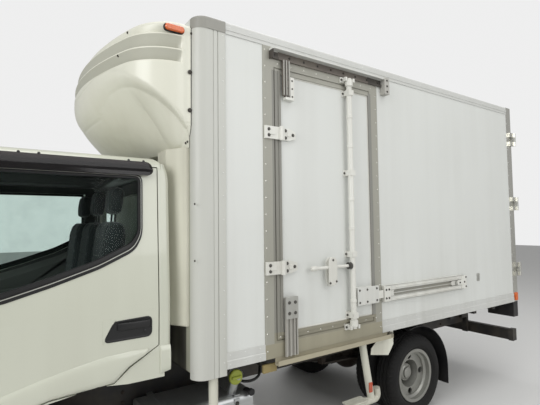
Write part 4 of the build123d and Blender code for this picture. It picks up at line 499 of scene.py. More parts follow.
def unit(vectors):
    return vectors / np.linalg.norm(vectors, axis=-1, keepdims=True)


def far_side(shape):
    """The mirror image across the truck's middle, with its faces turned back outwards."""
    points, quads, tris = shape
    return points * (1, -1, 1), quads[:, ::-1], tris[:, ::-1]


def both_sides(shape):
    return joined(shape, far_side(shape))


# %% From a shape to a piece
def hang(name, points, faces, finish, body, crease, replaced):
    """Makes the mesh, smooths it except along edges sharper than crease degrees, and hangs it on a body."""
    mesh = bpy.data.meshes.new(name)
    mesh.from_pydata(points, [], faces)
    mesh.polygons.foreach_set("use_smooth", np.ones(len(faces), bool))
    if crease:
        mesh.set_sharp_from_angle(angle=math.radians(crease))
    mesh.materials.append(finishes[finish])
    thing = bpy.data.objects.new(name, mesh)
    bpy.context.scene.collection.objects.link(thing)
    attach(thing, body)
    if replaced:
        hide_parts(*replaced)
    return thing


def plain_faces(shape):
    return [*shape[1].tolist(), *shape[2].tolist()]


def piece(name, shape, finish, crease=38, body="chassis_and_box", replaced=()):
    """A shape hung on a body, with the named finish."""
    faces = plain_faces(shape)
    print(name, "faces:", len(faces))
    return hang(name, shape[0], faces, finish, body, crease, replaced)


def pair(name, shape, body, finish, crease):
    """A piece on the left body, and its mirror image on the right one."""
    piece(f"{name}_left", shape, finish, crease, f"left_{body}")
    piece(f"{name}_right", far_side(shape), finish, crease, f"right_{body}")


# %% Directions that a face can look in
LOOKS = {"kerb": ((1, 0, 0), (0, 0, 1), (0, -1, 0)), "road": ((-1, 0, 0), (0, 0, 1), (0, 1, 0)),
         "rear": ((0, 1, 0), (0, 0, 1), (1, 0, 0)), "front": ((0, -1, 0), (0, 0, 1), (-1, 0, 0)),
         "up": ((1, 0, 0), (0, 1, 0), (0, 0, 1))}


def facing(look, local):
    """Points given as along, up and out, turned so that out is where the face looks."""
    return np.asarray(local, float) @ np.array(LOOKS[look], float)


# %% Rivets, bolts, plates and rods
def circle(radius, count, turn=0.0):
    angle = np.linspace(0, 2 * np.pi, count, endpoint=False) + turn
    return np.stack([radius * np.cos(angle), radius * np.sin(angle)], 1)


def turned(profile, count=16, look="kerb"):
    """A turned part: each (radius, height) pair of the profile becomes a circle about the out axis."""
    profile = np.asarray(profile, float)
    ring = circle(1.0, count)
    levels = np.concatenate([ring[None] * profile[:, None, :1],
                             np.broadcast_to(profile[:, None, 1:], (len(profile), count, 1))], 2)
    return skin(facing(look, levels))


def rivet(radius, height, look="kerb", count=9):
    """A dome: the radius shrinks with the cosine and the height grows with the sine."""
    angle = np.array([0, 0.45, 0.95, 1.35])
    return turned(np.stack([radius * np.cos(angle), height * np.sin(angle)], 1), count, look)


def hex_bolt(across, height, look="kerb"):
    """A washer, then six flats with a rounded crown: circles of six points, the last ones smaller."""
    radius = across / math.sqrt(3)
    washer = turned([(across * 0.78, 0), (across * 0.78, height * 0.22), (across * 0.74, height * 0.26)],
                    14, look)
    levels = [(radius, height * 0.2), (radius, height * 0.86), (radius * 0.86, height),
              (radius * 0.3, height)]
    return joined(washer, turned(levels, 6, look))


def rounded_outline(width, height, radius, steps=4):
    """A rectangle with round corners: a quarter circle about each corner's centre."""
    angle = np.linspace(0, np.pi / 2, steps + 1)
    centres = np.array([(1, 1), (-1, 1), (-1, -1), (1, -1)]) * (width / 2 - radius, height / 2 - radius)
    turns = angle[None] + np.arange(4)[:, None] * np.pi / 2
    return (centres[:, None] + radius * np.stack([np.cos(turns), np.sin(turns)], -1)).reshape(-1, 2)


def plate(centre, width, height, depth, radius, edge=0.0015, look="kerb", steps=4):
    """Three rounded rectangles: foot, shoulder, and the face inset by the edge's rounding."""
    foot = rounded_outline(width, height, radius, steps)
    face = rounded_outline(width - 2 * edge, height - 2 * edge, max(radius - edge, 0.0005), steps)
    levels = np.stack([np.column_stack([ring, np.full(len(ring), out)])
                       for ring, out in ((foot, 0.0), (foot, depth - edge), (face, depth))])
    return skin(facing(look, levels) + np.asarray(centre, float))


def plates(centres, *sizes):
    """The same plate at each centre, with the sizes and the look that plate() takes."""
    return copies(plate((0, 0, 0), *sizes), centres)


def eased(corners, radius, steps=5):
    """A route with each corner rounded: a curve from radius before it to radius after it."""
    corners = np.asarray(corners, float)
    before, middle, after = corners[:-2], corners[1:-1], corners[2:]
    way_in, way_out = unit(before - middle), unit(after - middle)
    share = np.linspace(0, 1, steps + 1)[None, :, None]
    start, end = (middle + way_in * radius)[:, None], (middle + way_out * radius)[:, None]
    bends = (1 - share) ** 2 * start + 2 * share * (1 - share) * middle[:, None] + share ** 2 * end
    return np.vstack([corners[:1], bends.reshape(-1, corners.shape[1]), corners[-1:]])


def along_path(path, outline, up=(0, 0, 1)):
    """An outline carried along a path: its first axis lies sideways, its second as near to up as it can."""
    path, outline = np.asarray(path, float), np.asarray(outline, float)
    tangent = unit(np.gradient(path, axis=0))
    sideways = unit(np.cross(tangent, up))
    above = np.cross(sideways, tangent)
    across, rise = outline[None, :, :1], outline[None, :, 1:]
    rings = path[:, None] + sideways[:, None] * across + above[:, None] * rise
    return skin(rings)


print("a rivet has", len(rivet(0.005, 0.002)[1]), "quads")

# %% [markdown]
# ## Tyres
# A light truck tyre is a ribbed band between two bulging walls. A subdivided torus with a texture
# would show a smooth outline from the side, so the outline itself is worked out: it is carried round
# the axle, the rib edges weave from side to side, and the shoulders drop into short notches.

# %% One tyre as a function of its turn and its outline
WEAVE, WEAVE_STEPS, NOTCH, NOTCH_STEPS = 0.0045, 6, 0.0055, 4


def tyre_shape(centre, turns=216):
    """Radius and width come from the outline; a rib edge's width swings with a triangle wave of the
    turn, and a shoulder's radius drops at every fourth step of it."""
    table = np.array([
        # across, radius, weave, notch
        (-0.069, 0.204, 0, 0), (-0.069, 0.226, 0, 0), (-0.076, 0.234, 0, 0), (-0.086, 0.246, 0, 0),
        (-0.0885, 0.2475, 0, 0), (-0.0935, 0.256, 0, 0), (-0.0985, 0.272, 0, 0), (-0.0982, 0.285, 0, 0),
        (-0.0955, 0.298, 0, 0), (-0.0938, 0.3, 0, 0), (-0.0915, 0.31, 0, 0.2), (-0.084, 0.3185, 0, 0.6),
        (-0.0735, 0.331, 0, 1), (-0.0605, 0.3378, 0, 1), (-0.053, 0.3395, 0, 1), (-0.0445, 0.34, 0.3, 0),
        (-0.0395, 0.34, 1, 0), (-0.0375, 0.3305, 1, 0), (-0.0325, 0.3305, 1, 0), (-0.0305, 0.34, 1, 0),
        (-0.02, 0.34, 0, 0), (-0.0062, 0.34, 1, 0), (-0.0042, 0.3305, 1, 0)])
    outline = np.vstack([table, (table * (-1, 1, 1, 1))[::-1]])
    angle = np.linspace(0, 2 * np.pi, turns, endpoint=False)[:, None]
    step = np.arange(turns)[:, None]
    weave = (np.abs((step % WEAVE_STEPS) - WEAVE_STEPS / 2) / (WEAVE_STEPS / 2) - 0.5) * WEAVE
    notch = np.where(step % NOTCH_STEPS == 0, NOTCH, 0.0)
    across = outline[None, :, 0] + weave * outline[None, :, 2]
    radius = outline[None, :, 1] - notch * outline[None, :, 3]
    rings = np.stack([radius * np.cos(angle), across + 0 * angle, radius * np.sin(angle)], -1)
    print("tyre reaches", round(float(radius.max()), 4), "and is", round(2 * float(across.max()), 3),
          "across")
    return skin(rings + np.asarray(centre, float), along=True)


REAR_AXLE_X, FRONT_AXLE_X, AXLE_Z = 1.118, -1.682, 0.34
FRONT_WHEEL_Y, REAR_OUTER_Y, REAR_INNER_Y = 0.697, 0.758, 0.526
for side_name, side in (("left", -1), ("right", 1)):
    piece(f"front_tread_{side_name}", tyre_shape((FRONT_AXLE_X, side * FRONT_WHEEL_Y, AXLE_Z)), "tyre",
          crease=30, body=f"{side_name}_front_wheel", replaced=(f"front_tyre_{side_name}",))
    twin = joined(tyre_shape((REAR_AXLE_X, side * REAR_OUTER_Y, AXLE_Z)),
                  tyre_shape((REAR_AXLE_X, side * REAR_INNER_Y, AXLE_Z)))
    piece(f"rear_treads_{side_name}", twin, "tyre", crease=30, body=f"{side_name}_rear_wheels",
          replaced=(f"rear_tyres_{side_name}",))

# %% [markdown]
# ## Wheel nuts and hub caps
# Each disc is held by a ring of nuts about a turned cap. They are turned shapes on the disc's face,
# copied round the axle by one sum over the ring's places.

# %% Nuts and caps
HUB_TRIM = (("front", FRONT_AXLE_X, 0.83, 0.809), ("rear", REAR_AXLE_X, 0.728, 0.646))
NUT_RING = 0.085
for side_name, side, look in (("left", -1, "kerb"), ("right", 1, "road")):
    nut = joined(hex_bolt(0.028, 0.022, look),
                 turned([(0.008, 0.02), (0.008, 0.031), (0.006, 0.033)], 8, look))
    cap = turned([(0.064, 0.0), (0.064, 0.004), (0.056, 0.01), (0.05, 0.012), (0.046, 0.024), (0.03, 0.03),
                  (0.01, 0.031)], 28, look)
    for wheel, axle_x, hub_end, disc_face in HUB_TRIM:
        ring = np.column_stack([circle(NUT_RING, 6, 0.26), np.zeros(6)])
        seat = np.array([axle_x, side * disc_face, AXLE_Z])
        nuts = copies(nut, facing(look, ring) + seat)
        shape = joined(nuts, copies(cap, [(axle_x, side * (hub_end - 0.0005), AXLE_Z)]))
        body = f"{side_name}_front_wheel" if wheel == "front" else f"{side_name}_rear_wheels"
        finish = "stainless" if wheel == "front" else "rim_steel"
        piece(f"{wheel}_hub_trim_{side_name}", shape, finish, body=body)

# %% [markdown]
# ## Rivets along the box
# Every edge rail and door flange is riveted to the board behind it. A row of rivets is one dome
# copied along a line, so a list of lines says where all of them are.

# %% Rows of rivets
def row(start, end, spacing):
    """Places from start to end, evenly spaced, as near to the spacing as the length allows."""
    start, end = np.asarray(start, float), np.asarray(end, float)
    count = max(int(round(np.linalg.norm(end - start) / spacing)) + 1, 2)
    return start + (end - start) * np.linspace(0, 1, count)[:, None]


FACE_Y, PROUD_Y = -0.95, -0.954
frame_rows = np.vstack([row((-0.503, FACE_Y, 0.86), (-0.503, FACE_Y, 2.79), 0.105),
                        row((0.552, FACE_Y, 0.86), (0.552, FACE_Y, 2.66), 0.105),
                        row((-0.4, FACE_Y, 2.715), (0.5, FACE_Y, 2.715), 0.12),
                        row((-0.4, FACE_Y, 0.935), (0.5, FACE_Y, 0.935), 0.12)])
piece("door_frame_rivets", copies(rivet(0.0055, 0.0026), frame_rows), "stainless")
shared_rows = [row((-0.76, FACE_Y, 2.865), (2.62, FACE_Y, 2.865), 0.15),
               row((-0.808, FACE_Y, 0.85), (-0.808, FACE_Y, 2.8), 0.14),
               row((2.665, -0.945, 0.88), (2.665, -0.945, 2.86), 0.14)]
rail_rows = np.vstack([*shared_rows, row((-0.77, FACE_Y, 0.889), (-0.56, FACE_Y, 0.889), 0.1),
                       row((0.62, FACE_Y, 0.889), (2.62, FACE_Y, 0.889), 0.125),
                       row((-0.77, PROUD_Y, 0.835), (-0.56, PROUD_Y, 0.835), 0.1),
                       row((0.7, PROUD_Y, 0.835), (2.62, PROUD_Y, 0.835), 0.125)])
far_rows = np.vstack([*shared_rows, row((-0.77, FACE_Y, 0.889), (2.62, FACE_Y, 0.889), 0.125),
                      row((-0.77, PROUD_Y, 0.835), (2.62, PROUD_Y, 0.835), 0.125)])
rail_rivet = rivet(0.0045, 0.002)
piece("box_rail_rivets", joined(copies(rail_rivet, rail_rows), far_side(copies(rail_rivet, far_rows))),
      "panel_white")
print("rivets on the near side:", len(frame_rows) + len(rail_rows))

# %% [markdown]
# ## The refrigeration unit
# The cowl in front of the box is one big moulding: seen from above it has straight sides, full round
# corners and a bowed front. Three ledges run round its top, with faces between them that lean in, and
# an arched crease parts the upper shell from a chin that shrinks towards the bottom. Stacked layers
# would show steps, so the whole cowl is one grid: along the plan in one direction, up in the other.

# %% The plan at a height
WALL_X = -0.987
CHIN_SECTIONS = np.array([
    # height, half width, front, end of the straight side, corner x, corner reach
    (2.6, 0.884, -1.446, -1.04, -1.322, 0.204), (2.48, 0.88, -1.436, -1.036, -1.286, 0.226),
    (2.36, 0.874, -1.39, -1.026, -1.18, 0.236), (2.24, 0.87, -1.276, -1.008, -1.09, 0.236),
    (2.112, 0.866, -1.092, -0.992, -1.008, 0.23)])
COWL_FOOT, CHIN_TOP, LEAN_START, LEAN_HEIGHT, LEAN_SHARE = 2.112, 2.6, 2.61, 0.236, 0.256
SHELL_HALF, SHELL_FRONT, SHELL_STRAIGHT = 0.89, -1.45, -1.04
SHELL_TANGENT, SHELL_HALFWAY = (-1.32596, 0.69107), (-1.21417, 0.83538)


def arc_through(start, middle, end, share):
    """The circle through three points, from the first on by a share of the turn to the last: its centre
    is where the two chords' middle lines cross."""
    a, b = middle - start, end - start
    area = 2 * (a[:, 0] * b[:, 1] - a[:, 1] * b[:, 0])
    aa, bb = (a ** 2).sum(1), (b ** 2).sum(1)
    offset = np.stack([(b[:, 1] * aa - a[:, 1] * bb) / area, (a[:, 0] * bb - b[:, 0] * aa) / area], 1)
    centre, radius = start + offset, np.linalg.norm(offset, axis=1)
    angles = np.stack([np.arctan2(*(point - centre).T[::-1]) for point in (start, middle, end)])
    angles = np.unwrap(angles, axis=0)
    turn = angles[0][:, None] + (angles[2] - angles[0])[:, None] * share
    return centre[:, None] + radius[:, None, None] * np.stack([np.cos(turn), np.sin(turn)], -1)


def half_plan(half, front, straight, tangent, halfway):
    """From the wall along the side, round the corner, and along the bow to the middle: one row a level."""
    wall = np.stack([np.full(len(half), WALL_X), half], 1)[:, None]
    corner = np.stack([straight, half], 1)
    side = wall + (corner[:, None] - wall) * np.array([0, 0.4, 0.42, 0.54, 0.56, 0.8, 1.0])[None, :, None]
    turn = arc_through(corner, halfway, tangent, np.linspace(0, 1, 30)[1:])
    bow = arc_through(tangent, np.stack([front, 0 * front], 1), tangent * (1, -1),
                      np.linspace(0, 0.5, 22)[1:])
    return np.concatenate([side, turn, bow], 1)


# %% The two forms and the crease between them
def chin_plan(height):
    """Each size of the sections is a curve of the fourth degree in height."""
    sizes = [np.polyval(np.polyfit(CHIN_SECTIONS[:, 0], column, 4), height)
             for column in CHIN_SECTIONS[:, 1:].T]
    half, front, straight, corner_x, reach = sizes
    tangent = np.stack([corner_x, half - reach], 1)
    halfway = np.stack([straight + (corner_x - straight) * 0.68, half - reach * 0.34], 1)
    return half_plan(half, front, straight, tangent, halfway)


def shell_plan(height):
    """The upper shell keeps one plan, whose front leans back on an arc towards the top."""
    one = np.ones(len(height))
    plan = half_plan(SHELL_HALF * one, SHELL_FRONT * one, SHELL_STRAIGHT * one,
                     np.outer(one, SHELL_TANGENT), np.outer(one, SHELL_HALFWAY))
    rise = np.clip((height - LEAN_START) / LEAN_HEIGHT, 0, 1)
    lean = LEAN_SHARE * (1 - np.sqrt(np.clip(1 - rise ** 2 * 0.97, 0, 1)))
    ahead = np.clip(SHELL_STRAIGHT - plan[..., 0], 0, None)
    plan[..., 0] += ahead * lean[:, None]
    return plan


CREASE_TOP = ((-1.452, 2.556), (-1.443, 2.572), (-1.414, 2.602), (-1.377, 2.6), (-1.342, 2.572),
              (-1.293, 2.514), (-1.214, 2.45), (-1.111, 2.356), (-1.031, 2.274), (-0.987, 2.236))
CREASE_FOOT = ((-1.452, 2.346), (-1.433, 2.358), (-1.419, 2.414), (-1.383, 2.468), (-1.349, 2.486),
               (-1.318, 2.476), (-1.275, 2.442), (-1.214, 2.392), (-1.131, 2.312), (-1.061, 2.228),
               (-0.987, 2.16))
# How far the faces between the ledges lean in: height, inset
LOUVRES = np.array([(2.59, 0), (2.598, 0.0004), (2.6045, 0.001), (2.607, 0.004), (2.6085, 0.03),
                    (2.612, 0.034), (2.64, 0.022), (2.668, 0.006), (2.676, 0.0006), (2.6825, 0.001),
                    (2.685, 0.004), (2.6865, 0.03), (2.692, 0.034), (2.722, 0.021), (2.752, 0.006),
                    (2.76, 0.0006), (2.7665, 0.001), (2.769, 0.004), (2.7705, 0.022), (2.776, 0.026),
                    (2.792, 0.019), (2.81, 0.01), (2.822, 0.006), (2.832, 0.006), (2.838, 0.009),
                    (2.8425, 0.015), (2.8452, 0.024), (2.846, 0.036)])


def smooth(share):
    """A step from 0 to 1 that starts and ends level."""
    return share ** 2 * (3 - 2 * share)


def cowl_plan(height):
    """Shell above the crease, chin below its foot, and a smooth step from one to the other."""
    shell, chin = shell_plan(height), chin_plan(np.minimum(height, CHIN_TOP))
    along = shell_plan(np.array([CHIN_TOP - 0.1]))[0, :, 0]
    top, foot = (np.interp(along, *np.array(line).T) for line in (CREASE_TOP, CREASE_FOOT))
    share = np.clip((top - height[:, None]) / (top - foot), 0, 1)
    share = 0.55 * share + 0.45 * smooth(share)
    return shell * (1 - share[..., None]) + chin * share[..., None], top, foot


def cowl_shape():
    """Every point of the plan moves in along its normal by the louvres' inset, which fades out beside
    the wall, by a seam next to the wall's flange, and by a shallow line along the crease."""
    height = np.concatenate([np.linspace(COWL_FOOT, 2.586, 84), LOUVRES[:, 0]])
    plan, top, foot = cowl_plan(height)
    tangent = np.gradient(plan, axis=1)
    inward = unit(np.stack([tangent[..., 1], -tangent[..., 0]], -1))
    inward *= -np.sign((inward * (plan - (-1.0, 0.0))).sum(-1, keepdims=True))
    fade = smooth(np.clip((-1.036 - plan[..., 0]) / 0.026, 0, 1))
    inset = np.interp(height, *LOUVRES.T)[:, None] * np.where(height[:, None] > 2.83, 1.0, fade)
    seam = 0.004 * ((plan[..., 0] > -1.017) & (plan[..., 0] < -1.007))
    line = 0.0036 * (np.exp(-((height[:, None] - top + 0.004) / 0.0045) ** 2)
                     + 0.8 * np.exp(-((height[:, None] - foot) / 0.0055) ** 2))
    plan = plan + inward * (inset + seam + line)[..., None]
    level = np.broadcast_to(height[:, None, None], plan.shape[:2] + (1,))
    near = np.concatenate([plan * (1, -1), level], -1)
    far = (near * (1, -1, 1))[:, ::-1][:, 1:]
    return skin(np.concatenate([near, far], 1))


mix(painted,
    [("cowl", "cowl_moulding", (216, 216, 202), (178, 174, 154), 0.36, 0.22, (14.0, 0.0003), 0.45, 2.0,
      2.6,
      # painted shade: the two faces between the ledges lean in under them and are painted darker than the
      # shell
      [zone(rgb(182, 182, 169), 0.4, X=(-1.46, -1.047), Z=(2.6075, 2.6755)),
       zone(rgb(182, 182, 169), 0.4, X=(-1.46, -1.047), Z=(2.6855, 2.7595)),
       zone(rgb(26, 26, 26), 0.6, X=(-0.9905, -0.98), Z=(2.0, 2.9))])])
cowl = piece("refrigeration_cowl", cowl_shape(), "cowl", 28, replaced=("refrigeration_unit",))

# %% Its screws and its marker lamps
screw = turned([(0.0075, 0), (0.0075, 0.0035), (0.006, 0.005), (0.0015, 0.0052)], 12)
cowl_screws = [(-1.342, -0.655, 2.812), (-1.349, -0.632, 2.658), (-0.997, -0.8905, 2.79),
               (-1.091, -0.877, 2.118), (-1.05, -0.88, 2.136)]
big_screw = turned([(0.013, 0), (0.013, 0.004), (0.01, 0.0065), (0.002, 0.007)], 14)
cowl_bolts = [(-0.9965, -0.8905, 2.556), (-0.9965, -0.8885, 2.328)]
surface = np.array([v.co for v in cowl.data.vertices])
cowl_screws = [surface[np.argmin(np.linalg.norm(surface - place, axis=1))] for place in cowl_screws]
fixings = joined(copies(screw, cowl_screws), copies(big_screw, cowl_bolts))
post_screw = turned([(0.0065, 0), (0.0065, 0.003), (0.005, 0.0045), (0.0012, 0.0047)], 12, "front")
post_screws = copies(post_screw, [(-0.9855, -0.937, height) for height in (1.451, 1.775)])
piece("post_screws", both_sides(post_screws), "cast_metal")
piece("cowl_screws", both_sides(fixings), "cast_metal")
marker_base = plate((-1.091, -0.8755, 2.796), 0.127, 0.045, 0.015, 0.02, 0.003)
piece("cowl_marker_bases", both_sides(marker_base), "seal_rubber")
marker_lens = plate((-1.091, -0.8905, 2.796), 0.118, 0.038, 0.0135, 0.017, 0.006)
piece("cowl_marker_lenses", both_sides(marker_lens), "amber_lens")
print("cowl reaches", round(float(min(v.co.x for v in cowl.data.vertices)), 3))

# %% [markdown]
# ## Windows, visor and handle of the cab doors
# The door glass sits behind a rubber frame that is narrow at the back and wide along the sill, where it
# has two steps. It is drawn as one closed band: the window's outline with rounded corners, carried
# through a short profile whose width grows where the outline faces down. A dark visor hangs over it.

# %% The outline of the door window
WINDOW = np.array([(-1.255, 1.935), (-1.258, 1.603), (-1.298, 1.523), (-1.477, 1.438), (-1.705, 1.362),
                   (-1.907, 1.304), (-2.42, 1.215), (-2.42, 1.33), (-2.215, 1.935)])
CAB_SIDE, WAIST, LEAN = 0.847, 1.2, 0.042 / 0.768


def cab_side_y(height):
    """The cab's side is upright to the waist and leans in above it, 42 mm in 768."""
    return -(CAB_SIDE - np.clip(np.asarray(height, float) - WAIST, 0, None) * LEAN)


def loop_eased(corners, radius, steps=5):
    """A closed outline with its corners rounded: the open rounding, run once round with the ends shared."""
    corners = np.asarray(corners, float)
    return eased(np.vstack([corners[-1:], corners, corners[:1]]), radius, steps)[1:-1]


def outward_normals(loop):
    """The tangent of a closed outline turned a quarter, away from its middle."""
    tangent = np.roll(loop, -1, 0) - np.roll(loop, 1, 0)
    normal = unit(np.stack([tangent[:, 1], -tangent[:, 0]], 1))
    area = (loop[:, 0] * np.roll(loop[:, 1], -1) - loop[:, 1] * np.roll(loop[:, 0], -1)).sum()
    return normal if area > 0 else -normal


def on_cab_side(flat, out):
    """Points given as x and z, set on the cab's side and moved out of it."""
    flat = np.asarray(flat, float)
    return np.stack([flat[..., 0], cab_side_y(flat[..., 1]) - out, flat[..., 1]], -1)


# %% The rubber frame
def window_band(corners, rounding, thin, thick, profile):
    """Each profile pair is a share of the width, counted inwards, and a height over the skin. The width
    goes from thin to thick as the outline turns to face down."""
    loop = loop_eased(corners, rounding)
    normal = outward_normals(loop)
    down = np.clip(-normal[:, 1], 0, 1)
    width = thin + (thick - thin) * smooth(down)
    levels = [on_cab_side(loop - normal * (width * share)[:, None] + normal * 0.008, out)
              for share, out in profile]
    return skin(levels, along=True)


BAND = [(0.0, -0.001), (0.0, 0.0022), (0.05, 0.0036), (0.4, 0.0036), (0.46, 0.0006), (0.54, 0.0006),
        (0.6, 0.0024), (0.97, 0.001), (1.0, -0.001), (1.0, -0.0155), (0.9, -0.0158)]
window_frame = window_band(WINDOW, 0.04, 0.026, 0.05, BAND)
mix(moulded,
    [("window_rubber", "window_rubber", (7, 7, 8), (32, 31, 30), 0.42, 900.0, 0.00004, 0.1, 3.0)])
pair("window_frame", window_frame, "cab_door", "window_rubber", 30)
stripe = window_band(WINDOW, 0.04, 0.026, 0.05,
                     [(0.34, 0.003), (0.34, 0.0066), (0.42, 0.0066), (0.42, 0.003)])
pair("window_stripe", stripe, "cab_door", "rail_aluminium", 30)

# %% The door's lining
lining_outline = np.array([(-2.4, 0.8), (-2.44, 0.87), (-2.44, 1.195), (-1.905, 1.283), (-1.7, 1.34),
                           (-1.47, 1.415), (-1.29, 1.498), (-1.235, 1.5), (-1.225, 1.04), (-1.4, 0.925),
                           (-1.7, 0.88), (-1.93, 0.86), (-2.08, 0.8)])


def lining_panel():
    """The moulded inner panel: three copies of one outline, each smaller and further into the cab."""
    loop = loop_eased(lining_outline, 0.025)
    normal = outward_normals(loop)
    levels = [np.stack([(loop - normal * inset)[:, 0], np.full(len(loop), y),
                        (loop - normal * inset)[:, 1]], -1)
              for inset, y in ((0.0, -0.788), (0.0, -0.779), (0.006, -0.773), (0.045, -0.77),
                               (0.052, -0.764))]
    return skin(levels)


armrest = along_path(eased([(-2.05, -0.764, 1.12), (-2.02, -0.735, 1.135), (-1.5, -0.735, 1.16),
                            (-1.46, -0.764, 1.165)], 0.03), rounded_outline(0.05, 0.06, 0.02))
lining = joined(lining_panel(), armrest)
pair("door_lining", lining, "cab_door", "cab_inner", 40)

# %% The visor
def visor_shape():
    """A band along the window's front and upper edges. Across it the sheet stands off the skin by a
    quarter sine, and its height shrinks with a circle's law at both ends, which rounds them."""
    route = eased([(-2.372, 1.5), (-2.232, 1.9755), (-1.189, 1.9755)], 0.06, 8)
    corner_run = np.concatenate([[0], np.cumsum(np.linalg.norm(np.diff(route, axis=0), axis=1))])
    run = corner_run[-1] * (1 - np.cos(np.linspace(0, np.pi, 110))) / 2
    route = np.stack([np.interp(run, corner_run, column) for column in route.T], 1)
    near_end = np.minimum(run, run[-1] - run)
    round_off = np.sqrt(np.clip(1 - (1 - np.clip(near_end / 0.042, 0, 1)) ** 2, 0.003, 1))
    tangent = unit(np.gradient(route, axis=0))
    inner_side = np.stack([tangent[:, 1], -tangent[:, 0]], 1)
    across = np.linspace(-1, 1, 9)
    offset = np.concatenate([across, across[::-1]])
    off_skin = 0.0035 + 0.0245 * np.sin((offset + 1) * np.pi / 4)
    off_skin = off_skin - np.concatenate([np.zeros(9), np.full(9, 0.0028)])
    reach = (offset * 0.0405)[None, :, None] * round_off[:, None, None]
    flat = route[:, None] + inner_side[:, None] * reach
    return skin(on_cab_side(flat, off_skin[None] * (0.35 + 0.65 * round_off[:, None])))


visor = visor_shape()
pair("visor", visor, "cab_door", "smoked", 30)

# %% The door handle
HANDLE, HANDLE_Y = (-1.3275, 1.104), -0.8475
HANDLE_LOOP = loop_eased([(0.119, 0.05), (-0.074, 0.042), (-0.123, -0.05), (0.119, -0.048)], 0.024)


def handle_cup():
    """A rounded frame on the skin that runs down into the door's recess: rings of one outline, each with
    an inset and a height over the skin."""
    rings = []
    for inset, out in ((-0.007, -0.001), (-0.007, 0.002), (-0.004, 0.0034), (0.002, 0.003), (0.006, 0.0),
                       (0.01, -0.0125), (0.016, -0.0155)):
        ring = HANDLE_LOOP - outward_normals(HANDLE_LOOP) * inset
        rings.append(on_cab_side(ring + HANDLE, out))
    return skin(rings)


pull_route = np.column_stack([np.linspace(-0.058, 0.112, 23) + HANDLE[0],
                              HANDLE_Y - 0.0075 * np.sin(np.linspace(0, np.pi, 23)) ** 0.6,
                              np.full(23, HANDLE[1] + 0.017)])
pull = along_path(pull_route, rounded_outline(0.014, 0.04, 0.0065, 4))
inner_loop = HANDLE_LOOP - outward_normals(HANDLE_LOOP) * 0.003
lid = skin([on_cab_side(inner_loop + HANDLE, out) for out in (-0.001, 0.001, 0.0014)])
key_hole = copies(turned([(0.0095, 0), (0.0095, 0.0035), (0.008, 0.0045)], 16),
                  [(HANDLE[0] + 0.086, HANDLE_Y, HANDLE[1] - 0.022)])
handle = joined(handle_cup(), lid, pull, key_hole)
pair("door_handle", handle, "cab_door", "window_rubber", 40)

# %% Black plugs in the cab's roof edge
plugs = [(x, -0.8035, 2.018) for x in (-1.847, -1.76, -1.323, -1.24)]
piece("roof_plugs", both_sides(copies(rivet(0.0075, 0.003), plugs)), "seal_rubber", body="cab")

# %% [markdown]
# ## The arch over the front wheel
# A soft flare runs along the foot of the door and on to the cab's corner. It is a low swelling, not a
# separate plate: a band that leaves the skin along the crease, stands out 14 mm and turns in at the arch.

# %% Flare
CREASE = [(-2.06, 0.8), (-1.98, 0.858), (-1.898, 0.884), (-1.74, 0.924), (-1.6, 0.953), (-1.442, 0.979),
          (-1.3, 0.986), (-1.225, 0.9865)]
ARCH = [(-2.006, 0.704), (-1.95, 0.74), (-1.878, 0.7835), (-1.7, 0.8245), (-1.56, 0.8335),
        (-1.402, 0.842), (-1.33, 0.906), (-1.245, 0.9525)]


def resampled(line, run):
    """Points along a line at the shares of its run."""
    line = np.asarray(line, float)
    return np.stack([np.interp(run, np.linspace(0, 1, len(line)), column) for column in line.T], 1)


def flare_band(upper, lower, stand):
    """Between two lines: the height over the skin follows a sine that has risen fully at a third."""
    share = np.array([0.0, 0.04, 0.1, 0.2, 0.34, 0.55, 0.8, 0.95, 1.0, 1.0])
    out = stand * np.array([0.02, 0.3, 0.62, 0.88, 1.0, 1.04, 1.0, 0.82, 0.45, -0.35])
    run = np.linspace(0, 1, 40)
    upper, lower = resampled(upper, run), resampled(lower, run)
    flat = upper[:, None] + (lower - upper)[:, None] * share[None, :, None]
    taper = np.sin(np.clip(run / 0.1, 0, 1) * np.pi / 2)[:, None]
    return skin(on_cab_side(flat, out[None] * (0.12 + 0.88 * taper)))


flare = flare_band(CREASE, ARCH, 0.014)
pair("door_flare", flare, "cab_door", "cab_white", 50)
corner_flare = flare_band([(-1.157, 0.9865), (-1.097, 0.9865)], [(-1.157, 0.836), (-1.097, 0.848)], 0.012)
piece("corner_flare", both_sides(corner_flare), "cab_white", crease=50, body="cab")

# %% The rounded moulding behind the door, and the paint that slants the handle's front end
CAB_REAR, CORNER_ROUND, MOULDING_DEPTH, WINDOW_HEAD = -1.138, 0.03, 0.045, 1.9


def corner_moulding():
    """One closed section a level: along the cab's side, round a 30 mm corner and back along the rear. Its
    depth behind the cab is full up to the window's head and then shrinks on an ellipse to the roof."""
    height = np.concatenate([np.linspace(0.846, WINDOW_HEAD, 12),
                             WINDOW_HEAD + 0.112 * np.sin(np.linspace(0.1, 1.45, 14))])
    fall = np.clip(height - WINDOW_HEAD, 0, None) / 0.115
    depth = 0.004 + MOULDING_DEPTH * np.sqrt(np.clip(1 - fall ** 2, 0, 1))
    turn = np.linspace(0, np.pi / 2, 9)
    corner = np.minimum(CORNER_ROUND, depth)
    side = -cab_side_y(height) + 0.0008
    x = CAB_REAR + depth[:, None] - corner[:, None] * (1 - np.sin(turn))
    y = side[:, None] - corner[:, None] * (1 - np.cos(turn))

    def level(value):
        return np.full((len(height), 1), value)

    inner = level(CAB_REAR - 0.0005)
    ring_x = np.hstack([inner, x, (CAB_REAR + depth)[:, None], inner])
    ring_y = np.hstack([side[:, None], y, level(0.7), level(0.7)])
    return skin(np.stack([ring_x, -ring_y, np.broadcast_to(height[:, None], ring_x.shape)], -1))


